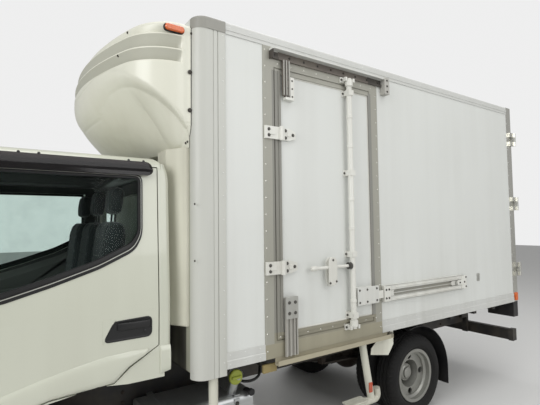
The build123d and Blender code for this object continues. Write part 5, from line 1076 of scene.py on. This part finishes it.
piece("cab_corner_mouldings", both_sides(corner_moulding()), "cab_white", crease=40, body="cab")
slant = loop_eased([(-0.133, 0.06), (-0.067, 0.06), (-0.108, -0.014), (-0.133, -0.064)], 0.003)
handle_slant = skin([on_cab_side(slant + HANDLE, out) for out in (-0.002, 0.0014, 0.0018)])
pair("handle_slant", handle_slant, "cab_door", "cab_white", 30)

# %% [markdown]
# ## The side door's fittings
# The straps, guides and catch are pressed plates held by plated bolts. The solids carry the plates, so
# only the bolts, washers and end details are added, each a turned or six-sided shape, copied in place.

# %% Bolts on the plates
STRAP_HEIGHTS, GUIDE_HEIGHTS, ROD_X = (1.375, 2.248), (0.996, 1.433, 2.024, 2.618), 0.225
strap_bolts = [(x, y, height + rise) for height in STRAP_HEIGHTS
               for x, y, rise in ((-0.484, -0.964, 0.019), (-0.484, -0.964, -0.019),
                                  (-0.347, -0.958, 0.024), (-0.347, -0.958, -0.024), (-0.286, -0.958, 0.0))]
guide_bolts = [(ROD_X + x, -0.951, height) for height in GUIDE_HEIGHTS for x in (-0.0325, 0.0355)]
catch_bolts = [(-0.01, -1.0, 1.246), (0.048, -1.0, 1.254), (0.019, -1.0, 1.402)]
hanger_bolts = [(x, -0.979, height) for x in (-0.34, -0.302) for height in (2.502, 2.556, 2.61)]
keeper_bolts = [(ROD_X + x, -0.962, height) for x in (-0.053, 0.053) for height in (2.716, 0.914)]
bracket_bolts = [(x, -0.9835, height) for x in (-0.353, -0.305) for height in (1.082, 1.15)]
link_bolts = [(x, -0.9805, height) for x in (0.296, 0.376, 0.48) for height in (1.074, 1.163)]
dark_bolt, small_bolt, pin_bolt = hex_bolt(0.0145, 0.008), hex_bolt(0.011, 0.006), hex_bolt(0.0085, 0.004)
mix(moulded, [("bolt_grey", "bolt_grey", (74, 72, 67), (44, 41, 37), 0.5, 300.0, 0.00005, 0.4)])
door_bolts = joined(copies(dark_bolt, strap_bolts + bracket_bolts), copies(pin_bolt, hanger_bolts),
                    copies(small_bolt, guide_bolts + catch_bolts + keeper_bolts + link_bolts))
piece("side_door_bolts", door_bolts, "bolt_grey", 30)

# %% Plates, straps and brackets that the solids leave plain
bracket_cover = plate((-0.329, -0.968, 1.116), 0.098, 0.142, 0.0155, 0.004, 0.0015)
mix(metal,
    [("grey_plate", "grey_plate", (168, 168, 162), (112, 106, 94), 0.46, 70.0, (1, 1, 0.1), 0.5, 0.45)])
piece("lower_bracket_plate", bracket_cover, "grey_plate", 30)
mix(painted,
    [("white_metal", "white_fitting", (214, 214, 207), (146, 140, 126), 0.38, 0.12, (70.0, 0.0002), 0.6,
      0.8, 2.0)])
strap_ribs = joined(*[plates([(x, y, height) for height in STRAP_HEIGHTS], width, 0.03, 0.0045, 0.01, 0.002)
                      for x, y, width in ((-0.459, -0.964, 0.05), (-0.318, -0.958, 0.036))])
rod_rings = copies(turned([(0.0215, -0.012), (0.0235, -0.01), (0.0235, 0.01), (0.0215, 0.012)], 20, "up"),
                   [(ROD_X, -0.985, height) for height in (1.1, 1.62, 1.83, 2.22, 2.44)])
knob = turned([(0.011, -0.03), (0.0165, -0.026), (0.018, 0.0), (0.0165, 0.012), (0.008, 0.018)], 18, "up")
knob = (knob[0][:, [2, 1, 0]] * (-1, 1, 1) + (-0.148, -0.985, 1.352), knob[1], knob[2])
catch_plate = plate((0.019, -0.9955, 1.325), 0.078, 0.196, 0.005, 0.034, 0.002)
piece("side_door_trim", joined(strap_ribs, rod_rings, knob, catch_plate), "white_metal", 34)
link_plate = plate((0.389, -0.9765, 1.1185), 0.232, 0.13, 0.0045, 0.008, 0.0015)
piece("slider_link_plate", link_plate, "side_door_rails", 34)
hanger_ribs = plates([(x, -0.979, 2.622) for x in (-0.371, -0.349, -0.327)], 0.01, 0.236, 0.005, 0.002,
                     0.002)
piece("hanger_ribs", hanger_ribs, "grey_plate", 34)

# %% The slotted rail: end plates, keeper and pressed lines
RAIL_Y = -0.972
rail_ends = joined(plates([(0.606, RAIL_Y, 1.1075), (1.677, RAIL_Y, 1.1075)], 0.072, 0.118, 0.008, 0.006),
                   plate((1.628, -0.9735, 1.108), 0.13, 0.042, 0.006, 0.019),
                   plates([(1.15, RAIL_Y, 1.151), (1.15, RAIL_Y, 1.064)], 0.88, 0.01, 0.004, 0.003))
keeper_ribs = [(1.973, -0.948, height) for height in (1.098, 1.115, 1.132, 1.149)]
slot_lines = [(1.115, -0.9728, height) for height in (1.084, 1.132)]
pressed_lines = [(1.135, -0.9725, height) for height in (1.047, 1.169)]
slot_edges = joined(plates(slot_lines, 0.96, 0.0035, 0.0012, 0.001),
                    plates(pressed_lines, 1.09, 0.0022, 0.001, 0.001),
                    plate((1.553, -0.9735, 1.108), 0.02, 0.04, 0.006, 0.009),
                    plate((1.973, -0.945, 1.124), 0.05, 0.074, 0.003, 0.006),
                    plates(keeper_ribs, 0.04, 0.008, 0.005, 0.002))
piece("slotted_rail_lines", slot_edges, "grey_plate", 30)
piece("slotted_rail_plates", rail_ends, "white_metal", 30)
rail_bolts = [(0.59, -0.98, 1.14), (0.59, -0.98, 1.075), (0.622, -0.98, 1.14), (0.622, -0.98, 1.075),
              (1.7, -0.98, 1.15), (1.7, -0.98, 1.065), (1.603, -0.9795, 1.108), (1.676, -0.9795, 1.108)]
top_rail_bolts = [(x, -0.954, 2.772) for x in np.linspace(-0.43, 0.58, 9)]
end_bolts = [(0.643, -0.996, height) for height in (2.7, 2.745, 2.79)]
piece("rail_bolts", copies(small_bolt, rail_bolts + end_bolts + top_rail_bolts), "cast_metal", crease=30)

# %% [markdown]
# ## Gaskets
# A soft lip runs round every leaf. In section it is a small oval; carried round the leaf's outline it
# closes on itself, and the same few lines make it for the side and the rear doors.

# %% Lips round the leaves
def gasket(look, low, high, radius, plane, thick=0.007):
    """The outline of a leaf, from its low to its high corner, carried round an oval section that stands
    at a distance out along the look."""
    low, high = np.array(low), np.array(high)
    ring = rounded_outline(*(high - low), radius, 5) + (low + high) / 2
    section = circle(1.0, 10) * (thick, thick * 0.75)
    normal = outward_normals(ring)
    levels = [np.column_stack([ring + normal * a, np.full(len(ring), plane + b)]) for a, b in section]
    return skin(facing(look, levels), along=True)


side_lip = gasket("kerb", (-0.3785, 0.9665), (0.4585, 2.6455), 0.01, 0.9432)
piece("side_door_lip", side_lip, "side_door_seal", 40)
rear_lip = gasket("rear", (-0.832, 0.938), (-0.01, 2.777), 0.02, 2.7555, 0.0065)
pair("rear_door_lip", rear_lip, "rear_door", "seal_rubber", 40)

# %% [markdown]
# ## The back of the truck
# Two leaves with lock rods fill the rear portal. Bolts hold the straps, cams close the rods' ends, and
# below hang the lamp clusters and the plate. The lenses are round-cornered plates with a shallow dome;
# the number plate is left blank.

# %% Straps, cams and guides on the rear doors
REAR_FACE = 2.75
strap_places = [(2.765, -y, height) for height in (1.15, 1.85, 2.55) for y in (0.715, 0.775, 0.835)]
guide_places = [(2.775, -y, height) for height in (1.08, 1.7, 2.3, 2.66) for y in (0.108, 0.152)]
rear_bolt, rear_small = hex_bolt(0.018, 0.008, "rear"), hex_bolt(0.012, 0.006, "rear")
ROD_Y, LEVER_Z, KEEPER_Z = -0.13, 1.382, 0.885
cam = copies(turned([(0.02, -0.02), (0.022, -0.017), (0.022, 0.017), (0.02, 0.02)], 20, "up"),
             [(2.7778, ROD_Y, height) for height in (0.955, 2.76, LEVER_Z, 1.9)])
rear_fittings = joined(copies(rear_bolt, strap_places), copies(rear_small, guide_places), cam,
                       plate((2.755, ROD_Y, LEVER_Z), 0.12, 0.07, 0.007, 0.016, look="rear"),
                       copies(rear_small, [(2.762, -0.085, LEVER_Z), (2.762, -0.175, LEVER_Z)]),
                       plate((2.7795, -0.445, LEVER_Z), 0.05, 0.034, 0.013, 0.012, 0.003, "rear"))
pair("rear_fittings", rear_fittings, "rear_door", "rear_door_gear_left", 32)
keeper = joined(plate((REAR_FACE, ROD_Y, KEEPER_Z), 0.11, 0.06, 0.012, 0.008, look="rear"),
                copies(rear_small, [(2.762, -0.092, KEEPER_Z), (2.762, -0.168, KEEPER_Z)]))
top_keeper = (keeper[0] + (0, 0, 1.955), keeper[1], keeper[2])
piece("rear_keepers", both_sides(joined(keeper, top_keeper)), "stainless", crease=32)

# %% Rivets round the portal and rubber buffers
portal_rows = np.vstack([row((REAR_FACE, -0.915, 0.86), (REAR_FACE, -0.915, 2.86), 0.14),
                         row((REAR_FACE, -0.8, 2.866), (REAR_FACE, -0.06, 2.866), 0.14),
                         row((REAR_FACE, -0.8, 0.842), (REAR_FACE, -0.06, 0.842), 0.14)])
piece("portal_rivets", both_sides(copies(rivet(0.0048, 0.002, "rear"), portal_rows)), "stainless")
buffers = both_sides(joined(plate((REAR_FACE, -0.62, 0.838), 0.16, 0.044, 0.04, 0.012, 0.008, "rear"),
                            plate((REAR_FACE, -0.915, 2.846), 0.044, 0.044, 0.01, 0.01, 0.004, "rear")))
piece("dock_buffers", buffers, "seal_rubber")

# %% Rear lamps and plates
LAMP_FACE, LENS_Z, CLUSTER_Y, REAR_PLATE_Z = REAR_FACE + 0.002, 0.7305, -0.8025, 0.447
REAR_LENSES = (("stop", -0.812, 0.1, "lamp_red"), ("turn", -0.895, 0.062, "amber_lens"),
               ("reverse", -0.716, 0.086, "clear_lens"))
for lens_name, middle, width, finish in REAR_LENSES:
    shape = joined(plate((LAMP_FACE, middle, LENS_Z), width, 0.108, 0.01, 0.012, 0.004, "rear"),
                   plate((LAMP_FACE + 0.01, middle, LENS_Z), width - 0.018, 0.09, 0.006, 0.01, 0.005,
                         "rear"))
    piece(f"rear_lens_{lens_name}", both_sides(shape), finish)
bezel = joined(*[plate((LAMP_FACE - 0.001, CLUSTER_Y, height), 0.262, 0.012, 0.014, 0.004, 0.002, "rear")
                 for height in (0.7935, 0.6675)])
piece("rear_lamp_rims", both_sides(bezel), "mirror_black")
mix(painted,
    [("blank_plate", "blank_plate", (214, 214, 206), (150, 146, 132), 0.4, 0.2, (40.0, 0.0002), 0.5)])
rear_plate = joined(plate((2.7505, 0, REAR_PLATE_Z), 0.33, 0.1, 0.0015, 0.008, 0.0006, "rear"),
                    plate((2.7515, 0, REAR_PLATE_Z), 0.316, 0.086, 0.0014, 0.006, 0.0006, "rear"),
                    copies(rear_small, [(2.752, y, REAR_PLATE_Z) for y in (-0.105, 0.105)]))
piece("rear_plate", rear_plate, "blank_plate")
side_markers = plate((2.712, -0.945, 0.862), 0.046, 0.084, 0.014, 0.01, 0.005)
piece("side_markers", both_sides(side_markers), "amber_lens")
top_markers = plates([(REAR_FACE, y, 2.846) for y in (-0.66, -0.58)], 0.07, 0.024, 0.014, 0.01, 0.005,
                     "rear")
piece("top_markers", both_sides(top_markers), "lamp_red")

# %% [markdown]
# ## Seats
# Three cloth seats: foam under a tight cover, firm at the rims and crowned in the middle. Each form is
# a superellipsoid sized to the seat's outline, then blown up a little by the cloth solver, which rounds
# it as foam does. The solver runs once for each kind of pad, and its result is scaled for the three
# seats, which keeps the run short. Sewn channels are pressed in afterwards.

# %% A pad before it is blown up
def pad_form(size, sharp=0.34, levels=26, count=44):
    """Superellipsoid: each coordinate is a sine or cosine raised to a small power, which squares it."""
    def squared(value, power):
        return np.sign(value) * np.abs(value) ** power
    rise = np.linspace(-np.pi / 2 + 0.03, np.pi / 2 - 0.03, levels)[:, None]
    turn = np.linspace(0, 2 * np.pi, count, endpoint=False)[None]
    form = np.stack([squared(np.cos(rise), sharp) * squared(np.cos(turn), sharp),
                     squared(np.cos(rise), sharp) * squared(np.sin(turn), sharp),
                     squared(np.sin(rise), sharp) + 0 * turn], -1)
    return skin(form * np.asarray(size, float) / 2)


PADS = {
    # size before it swells, middle, lean back about the y axis
    "cushion": ((0.5, 0.41, 0.118), (-1.605, 0, 1.0455), 0.03),
    "back": ((0.092, 0.4, 0.57), (-1.369, 0, 1.408), 0.11),
    "headrest": ((0.066, 0.2, 0.158), (-1.324, 0, 1.808), 0.1),
}
VOXEL, PRESSURE, LAST_FRAME, PAD_WIDTH = 0.006, 4, 20, 0.46
SWELL_CAP = {"cushion": 0.016, "back": 0.013, "headrest": 0.007}


def blown_up(shape, cap):
    """Remeshes the form to even cells, runs some frames of cloth with air pressure inside, and returns the
    points with no point further than cap from where it began, and the faces."""
    mesh = bpy.data.meshes.new("pad_blank")
    mesh.from_pydata(shape[0], [], plain_faces(shape))
    blank = bpy.data.objects.new("pad_blank", mesh)
    bpy.context.scene.collection.objects.link(blank)
    remesh = blank.modifiers.new("cells", "REMESH")
    remesh.mode, remesh.voxel_size = "VOXEL", VOXEL
    even = bpy.data.meshes.new_from_object(blank.evaluated_get(bpy.context.evaluated_depsgraph_get()))
    blank.modifiers.clear()
    blank.data = even
    start = np.zeros(len(even.vertices) * 3)
    even.vertices.foreach_get("co", start)
    start = start.reshape(-1, 3)
    cloth = blank.modifiers.new("cloth", "CLOTH")
    cloth.settings.use_pressure, cloth.settings.uniform_pressure_force = True, PRESSURE
    cloth.settings.effector_weights.gravity = 0
    cloth.point_cache.frame_start, cloth.point_cache.frame_end = 1, LAST_FRAME
    for frame_number in range(1, LAST_FRAME + 1):
        bpy.context.scene.frame_set(frame_number)
    solved = blank.evaluated_get(bpy.context.evaluated_depsgraph_get()).to_mesh()
    end = np.zeros(len(solved.vertices) * 3)
    solved.vertices.foreach_get("co", end)
    move = end.reshape(-1, 3) - start
    length = np.linalg.norm(move, axis=1, keepdims=True)
    faces = [list(face.vertices) for face in even.polygons]
    bpy.data.objects.remove(blank)
    bpy.context.scene.frame_set(1)
    return start + move * np.minimum(1, cap / np.maximum(length, 1e-9)), faces


# %% Blow up one pad of each kind
pad_meshes = {}
for pad_name, (size, middle, lean) in PADS.items():
    form = pad_form(size)
    pad_meshes[pad_name] = (form[0], plain_faces(form))
    pad_meshes[pad_name] = blown_up(form, SWELL_CAP[pad_name])
    print(pad_name, "points:", len(pad_meshes[pad_name][0]))


# %% Sewn channels and piping
def channelled(points, kind):
    """Channels are narrow bells pressed into the pad: two along it, and some across its middle part."""
    points = points.copy()
    x, y, z = points.T
    out_axis, run = (2, x) if kind == "cushion" else (0, z)
    face = z > 0 if kind == "cushion" else x < 0
    side_lines = np.exp(-((np.abs(y) - 0.138) / 0.0065) ** 2)
    middle = 1 / (1 + np.exp((np.abs(y) - 0.134) / 0.003))
    places = {"cushion": (-0.13, 0.0, 0.13), "back": (-0.16, -0.05, 0.06, 0.17), "headrest": ()}[kind]
    cross_lines = sum((np.exp(-((run - place) / 0.006) ** 2) for place in places), np.zeros(len(x)))
    bolster = 0.006 * (1 / (1 + np.exp((0.15 - np.abs(y)) / 0.008)))
    depth = 0.0085 * np.maximum(side_lines, cross_lines * middle) - bolster
    if kind == "headrest":
        depth = 0.004 * np.exp(-((np.abs(y) - 0.062) / 0.005) ** 2)
    direction = -1 if kind == "cushion" else 1
    points[:, out_axis] += np.where(face, direction * depth, 0)
    return points


def set_in_place(points, middle, lean, seat_y, width):
    """Scales the width, leans the pad about y, and moves it to its seat."""
    points = points * (1, width / PAD_WIDTH, 1)
    turn = np.array([(math.cos(lean), 0, math.sin(lean)), (0, 1, 0), (-math.sin(lean), 0, math.cos(lean))])
    return points @ turn.T + np.asarray(middle) + (0, seat_y, 0)


SEAT_ROWS = (("driver", 0.4, 0.46), ("middle", -0.06, 0.4), ("passenger", -0.5, 0.44))
for seat_name, seat_y, seat_width in SEAT_ROWS:
    for pad_name, (size, middle, lean) in PADS.items():
        points, faces = pad_meshes[pad_name]
        placed = set_in_place(channelled(points, pad_name), middle, lean, seat_y, seat_width)
        pad = hang(f"seat_{pad_name}_{seat_name}", placed, faces, "seat_fabric", "cab", 0,
                   ["seats"])

# %% Seat frames, head-rest posts and buckles
seat_iron = []
for seat_name, seat_y, seat_width in SEAT_ROWS:
    shell = along_path([(-1.305, seat_y, 1.13), (-1.292, seat_y, 1.3), (-1.3215, seat_y, 1.6)],
                       rounded_outline(seat_width - 0.1, 0.022, 0.009), up=(-1, 0, 0.0))
    posts = [along_path([(-1.331, seat_y + y, 1.64), (-1.322, seat_y + y, 1.79)], circle(0.0065, 10))
             for y in (-0.045, 0.045)]
    buckle = plate((-1.4, seat_y + 0.19, 1.15), 0.03, 0.065, 0.022, 0.008, 0.003, "up")
    runner = [along_path([(-1.84, seat_y + y, 0.982), (-1.36, seat_y + y, 0.982)],
                         rounded_outline(0.026, 0.014, 0.003)) for y in (-0.14, 0.14)]
    seat_iron += [shell, *posts, buckle, *runner]
piece("seat_irons", joined(*seat_iron), "dash_plastic", crease=40, body="cab")

# %% [markdown]
# ## The front of the cab
# The photograph shows none of it, so it follows what such a cab has: a rubber-framed windscreen with
# two wipers, a slotted grille in a raised frame, lamp bezels with indicators, and a blank plate. All of
# it hugs the cab's bowed front, so one function gives the front's x at any width and height.

# %% The cab's front surface
BOW_Y = (0.0, 0.2, 0.4, 0.55, 0.697, 0.76, 0.807, 0.835, 0.847)
BOW_X = (-2.751, -2.746, -2.731, -2.713, -2.69, -2.66, -2.63, -2.585, -2.52)
RISE_Z, RISE_X = (0.0, 0.9, 1.07, 1.235, 1.955), (-2.75, -2.75, -2.746, -2.735, -2.335)


def on_front(flat, out):
    """Points given as y and z: x is the larger of the bow seen from above and the rise seen from beside."""
    flat = np.asarray(flat, float)
    bow = np.interp(np.abs(flat[..., 0]), BOW_Y, BOW_X)
    rise = np.interp(flat[..., 1], RISE_Z, RISE_X)
    return np.stack([np.maximum(bow, rise) - out, flat[..., 0], flat[..., 1]], -1)


def front_patch(centre, width, height, radius, out, edge=0.003):
    """A rounded plate that follows the bow: rings of one outline drawn in to its middle."""
    ring = rounded_outline(width, height, radius, 5)
    levels = [on_front(ring * share + centre, rise)
              for share, rise in ((1.0, -0.002), (1.0, out - edge), (1 - edge / width * 2, out),
                                  (0.75, out), (0.5, out), (0.25, out), (0.02, out))]
    return skin(levels)


def front_ring(corners, rounding, width, profile):
    loop = loop_eased(corners, rounding)
    normal = outward_normals(loop)
    return skin([on_front(loop - normal * width * share, out) for share, out in profile], along=True)


RAISED = [(-0.3, -0.001), (-0.3, 0.003), (0.0, 0.005), (0.6, 0.004), (0.8, 0.001), (0.8, -0.012)]
screen_frame = front_ring([(-0.735, 1.29), (0.735, 1.29), (0.69, 1.915), (-0.69, 1.915)], 0.05, 0.034,
                          RAISED)
piece("windscreen_frame", screen_frame, "seal_rubber", crease=30, body="cab")
grille_ring = front_ring([(-0.47, 0.705), (0.47, 0.705), (0.49, 0.9), (-0.49, 0.9)], 0.03, 0.022, RAISED)
piece("grille_frame", grille_ring, "mirror_black", crease=30, body="cab")
piece("grille_backing", plate((-2.684, 0, 0.8), 0.86, 0.19, 0.004, 0.02, look="front"), "dash_plastic",
      body="cab")

# %% Lamp bezels, indicators, fog lamps and the blank plate
lamp_corners = np.array([(-0.156, -0.081), (0.156, -0.081), (0.156, 0.081), (-0.156, 0.081)])
LAMP_Z, BEZEL = 0.812, RAISED[:4] + [(0.9, 0.0), (0.9, -0.004)]
bezels = joined(*[front_ring(lamp_corners + (y, LAMP_Z), 0.036, 0.016, BEZEL) for y in (-0.628, 0.628)])
piece("headlamp_bezels", bezels, "stainless", crease=30, body="cab")
BOWLS_Y = (-0.675, -0.562, 0.562, 0.675)
bowls = joined(*[front_patch((y, LAMP_Z), 0.098, 0.11, 0.046, 0.0028, 0.002) for y in BOWLS_Y])
piece("headlamp_bowls", bowls, "clear_lens", body="cab")
indicators = joined(*[front_patch((y, LAMP_Z), 0.036, 0.128, 0.012, 0.0034, 0.002)
                      for y in (-0.752, 0.752)])
piece("front_indicators", indicators, "amber_lens", body="cab")
side_turn = plate((-2.56, -CAB_SIDE, 1.02), 0.075, 0.03, 0.012, 0.013, 0.005)
piece("side_indicators", both_sides(side_turn), "amber_lens", body="cab")
FRONT_PLATE_Z = 0.475
front_plate = joined(plate((-2.782, 0, FRONT_PLATE_Z), 0.33, 0.086, 0.005, 0.006, 0.001, "front"),
                     copies(turned([(0.005, 0), (0.005, 0.004), (0.001, 0.0045)], 10, "front"),
                            [(-2.7865, y, FRONT_PLATE_Z) for y in (-0.105, 0.105)]))
piece("front_plate", front_plate, "blank_plate")
fog = plates([(-2.775, y, 0.47) for y in (-0.64, 0.64)], 0.13, 0.05, 0.012, 0.02, 0.004, "front")
piece("fog_lamps", fog, "clear_lens")

# %% Wipers
def wiper(foot_y, reach):
    """A round arm from its pivot to the blade's middle, and a flat blade along the glass."""
    pivot = on_front(np.array([foot_y, 1.262]), 0.014)
    middle = on_front(np.array([foot_y + reach * 0.55, 1.335]), 0.016)
    arm = along_path(eased(np.array([pivot, (pivot + middle) / 2 - (0.012, 0, 0), middle]), 0.06),
                     circle(0.006, 8))
    blade_y = np.linspace(foot_y + reach * 0.1, foot_y + reach, 15)
    blade = on_front(np.column_stack([blade_y, 1.33 + 0.012 * np.abs(blade_y - blade_y[0])]), 0.0085)
    base = copies(turned([(0.016, -0.012), (0.016, 0.006), (0.01, 0.012)], 14, "front"), [pivot])
    return joined(arm, along_path(blade, rounded_outline(0.008, 0.016, 0.003)), base)


piece("wipers", joined(wiper(-0.5, 0.52), wiper(0.08, 0.52)), "seal_rubber", crease=40, body="cab")

# %% Mirror glass
MIRROR_X, MIRROR_Y = -2.648, -1.01
mirror_faces = joined(plate((MIRROR_X, MIRROR_Y, 1.49), 0.148, 0.278, 0.003, 0.028, 0.001, "rear"),
                      plate((MIRROR_X, MIRROR_Y, 1.715), 0.138, 0.09, 0.003, 0.026, 0.001, "rear"))
mix(metal,
    [("silvered", "silvered_glass", (226, 229, 230), (190, 192, 190), 0.05, 30.0, (1, 1, 1), 0.1, 1.0,
      0.000005)])
piece("mirror_faces", both_sides(mirror_faces), "silvered", body="cab")

# %% [markdown]
# ## Inside the cab
# Only a dark outline of it shows through the glass. The dash gets its instrument hood, vents, radio and
# glove box lid; sun shades and a mirror hang from the lining.

# %% Dash and roof fittings
hood_route = [(-2.44, y, 1.292 + 0.055 * math.cos(min(abs(y - 0.4) / 0.2, 1) * math.pi / 2))
              for y in np.linspace(0.2, 0.6, 21)]
hood = along_path(hood_route, rounded_outline(0.15, 0.012, 0.005))
DIAL = [(0.052, 0), (0.052, 0.006), (0.047, 0.01), (0.045, 0.003), (0.004, 0.003)]
dials = copies(turned(DIAL, 28, "rear"), [(-2.352, 0.34, 1.25), (-2.352, 0.46, 1.25)])
VENTS_Y = (-0.62, -0.1, 0.1, 0.66)
slats = [(-2.333, y, height) for y in VENTS_Y for height in (1.203, 1.215, 1.227)]
vents = joined(plates([(-2.343, y, 1.215) for y in VENTS_Y], 0.11, 0.05, 0.01, 0.012, 0.003, "rear"),
               plates(slats, 0.092, 0.004, 0.004, 0.001, 0.0005, "rear"))
RADIO_Z = 1.105
radio = joined(plate((-2.366, 0.0, RADIO_Z), 0.19, 0.1, 0.01, 0.008, 0.003, "rear"),
               copies(turned([(0.012, 0), (0.011, 0.014), (0.008, 0.016)], 16, "rear"),
                      [(-2.357, y, RADIO_Z) for y in (-0.075, 0.075)]))
glove_box = plate((-2.372, -0.45, 1.095), 0.34, 0.13, 0.012, 0.02, 0.005, "rear")
piece("dash_fittings", joined(hood, dials, vents, radio, glove_box), "dash_plastic", body="cab")
shades = joined(plates([(-2.19, y, 1.975) for y in (-0.4, 0.4)], 0.38, 0.13, 0.014, 0.03, 0.005, "front"),
                plate((-2.26, 0.0, 1.88), 0.19, 0.055, 0.018, 0.02, 0.006, "rear"),
                along_path([(-2.24, 0, 1.885), (-2.18, 0, 2.012)], circle(0.006, 8)))
piece("roof_fittings", shades, "cab_inner", crease=40, body="cab")

# %% [markdown]
# ## Under the box
# The tank's filler with its yellow-green cap shows between the box and the wheel, beside a second black
# cap; a red reflector sits on the guard's rear leg. Below, springs get their U-bolts and the exhaust its
# clamps, so that the chassis bears a look from beneath.

# %% Caps, reflectors and block ends
mix(moulded, [("filler_green", "filler_cap", (148, 158, 52), (96, 92, 60), 0.45, 260.0, 0.0001, 0.6)])
ribs = turned([(0.045, 0), (0.0465, 0.003), (0.0465, 0.016), (0.0425, 0.0205), (0.015, 0.0215)], 40)
ripple = 1 - 0.03 * (np.arange(len(ribs[0])) % 2)[:, None]
filler = (ribs[0] * np.where(np.linalg.norm(ribs[0][:, ::2], axis=1, keepdims=True) > 0.04, ripple, 1),
          ribs[1], ribs[2])
grip = plate((0, -0.02, 0), 0.07, 0.016, 0.012, 0.007, 0.003)
filler = copies(joined(filler, grip), [(-0.667, -0.823, 0.7078)])
piece("filler_cap", filler, "filler_green", 34)
VENT_CAP = [(0.019, 0), (0.022, 0.002), (0.022, 0.02), (0.018, 0.025), (0.004, 0.026)]
vent_neck = eased([(-0.548, -0.74, 0.56), (-0.548, -0.755, 0.585), (-0.548, -0.814, 0.586)], 0.02)
vent_hose = eased([(-0.64, -0.7, 0.66), (-0.56, -0.795, 0.64), (-0.47, -0.8, 0.655), (-0.4, -0.7, 0.7)],
                  0.05, 6)
black_cap = joined(copies(turned(VENT_CAP, 24), [(-0.548, -0.812, 0.586)]),
                   along_path(vent_neck, circle(0.015, 14)), along_path(vent_hose, circle(0.009, 10)))
piece("vent_cap", black_cap, "seal_rubber", crease=34)
reflector = plate((0.456, -0.9165, 0.415), 0.038, 0.074, 0.0055, 0.005, 0.002)
mix(lens, [("reflector", "reflector", (196, 76, 30), (130, 44, 14))])
piece("guard_reflectors", both_sides(reflector), "reflector")
mix(painted,
    [("aged_tan", "aged_tan", (158, 142, 92), (96, 84, 58), 0.6, 0.1, (40.0, 0.0003), 0.9, 0.6, 2.6)])
tan_block = plate((-0.462, -0.9, 0.742), 0.105, 0.052, 0.016, 0.005, 0.002)
piece("bearer_ends", both_sides(tan_block), "aged_tan")

# %% Springs, tank straps and exhaust
stud = turned([(0.008, -0.075), (0.008, 0.075), (0.004, 0.078)], 10, "up")
nut = turned([(0.0135, 0), (0.0135, 0.012), (0.011, 0.014)], 6, "up")
stud_places = [(axle_x + x, y, height) for axle_x, height in ((FRONT_AXLE_X, 0.34), (REAR_AXLE_X, 0.395))
               for x in (-0.05, 0.05) for y in (-0.38, -0.3, 0.3, 0.38)]
u_bolts = joined(copies(stud, stud_places), copies(nut, np.array(stud_places) + (0, 0, 0.06)))
clamp = turned([(0.036, -0.01), (0.039, -0.008), (0.039, 0.008), (0.036, 0.01)], 24, "rear")
band = turned([(0.0965, -0.01), (0.0985, -0.008), (0.0985, 0.008), (0.0965, 0.01)], 30, "rear")
clamps = joined(copies(clamp, [(-0.3, 0.23, 0.394), (0.48, 0.23, 0.39), (0.66, 0.23, 0.39)]),
                copies(band, [(-0.18, 0.23, 0.39), (0.38, 0.23, 0.39)]))
strap_places = [(x, -0.8045, height) for x in (-1.06, -0.64) for height in (0.372, 0.53)]
lid_places = [(x, 0.78, height) for x in (-0.66, -0.1) for height in (0.37, 0.58)]
strap_ends = copies(hex_bolt(0.018, 0.01), strap_places)
lid_bolts = copies(hex_bolt(0.014, 0.008, "road"), lid_places)
piece("chassis_fittings", joined(u_bolts, clamps, strap_ends, lid_bolts), "cast_metal", crease=34)
CROSS_MEMBERS_X = (-2.565, -1.23, 0.18, 0.8, 1.56, 2.2)
frame_bolts = np.vstack([row((x, -0.3755, 0.535), (x, -0.3755, 0.665), 0.065) for x in CROSS_MEMBERS_X])
piece("frame_bolts", both_sides(copies(hex_bolt(0.016, 0.008), frame_bolts)), "cast_metal", crease=34)
ridges = plates([(-0.38, y, 0.62) for y in (0.5, 0.56, 0.62, 0.68)], 0.6, 0.01, 0.006, 0.003, 0.001, "up")
piece("battery_lid_ridges", ridges, "tank_steel")

# %% [markdown]
# ## Floor
# The truck stands on a plain pale floor that runs up into nothing: its colour and the sky's are set
# for what the camera sees, so the background stays pale while the lamps stay low.

# %% Floor and sky
def pale_floor():
    """A wide flat sheet just under the tyres."""
    half, drop = 30, 0.0005
    ground = [(-half, -half, -drop), (half, -half, -drop), (half, half, -drop), (-half, half, -drop)]
    mesh = bpy.data.meshes.new("floor")
    mesh.from_pydata(ground, [], [(0, 1, 2, 3)])
    paint = Paint("floor_paint")
    mesh.materials.append(paint.shade(Base_Color=rgb(214, 214, 212), Roughness=0.6))
    floor = bpy.data.objects.new("floor", mesh)
    bpy.context.scene.collection.objects.link(floor)


def pale_sky(strength, shown):
    """The world lights the truck at one strength, and the camera sees it at another, also through glass."""
    world = bpy.data.worlds.new("sky")
    world.use_nodes = True
    bpy.context.scene.world = world
    nodes, links = world.node_tree.nodes, world.node_tree.links
    nodes.clear()
    path = nodes.new("ShaderNodeLightPath")
    seen = nodes.new("ShaderNodeMath")
    seen.operation = "MAXIMUM"
    links.new(path.outputs["Is Camera Ray"], seen.inputs[0])
    links.new(path.outputs["Is Transmission Ray"], seen.inputs[1])
    light, view = nodes.new("ShaderNodeBackground"), nodes.new("ShaderNodeBackground")
    light.inputs["Strength"].default_value, view.inputs["Strength"].default_value = strength, shown
    light.inputs["Color"].default_value = view.inputs["Color"].default_value = (1, 1, 1, 1)
    mixed, output = nodes.new("ShaderNodeMixShader"), nodes.new("ShaderNodeOutputWorld")
    links.new(seen.outputs[0], mixed.inputs[0])
    links.new(light.outputs[0], mixed.inputs[1])
    links.new(view.outputs[0], mixed.inputs[2])
    links.new(mixed.outputs[0], output.inputs["Surface"])


pale_floor()
pale_sky(0.42, 0.86)

# %% Update the scene and finish
bpy.context.view_layer.update()
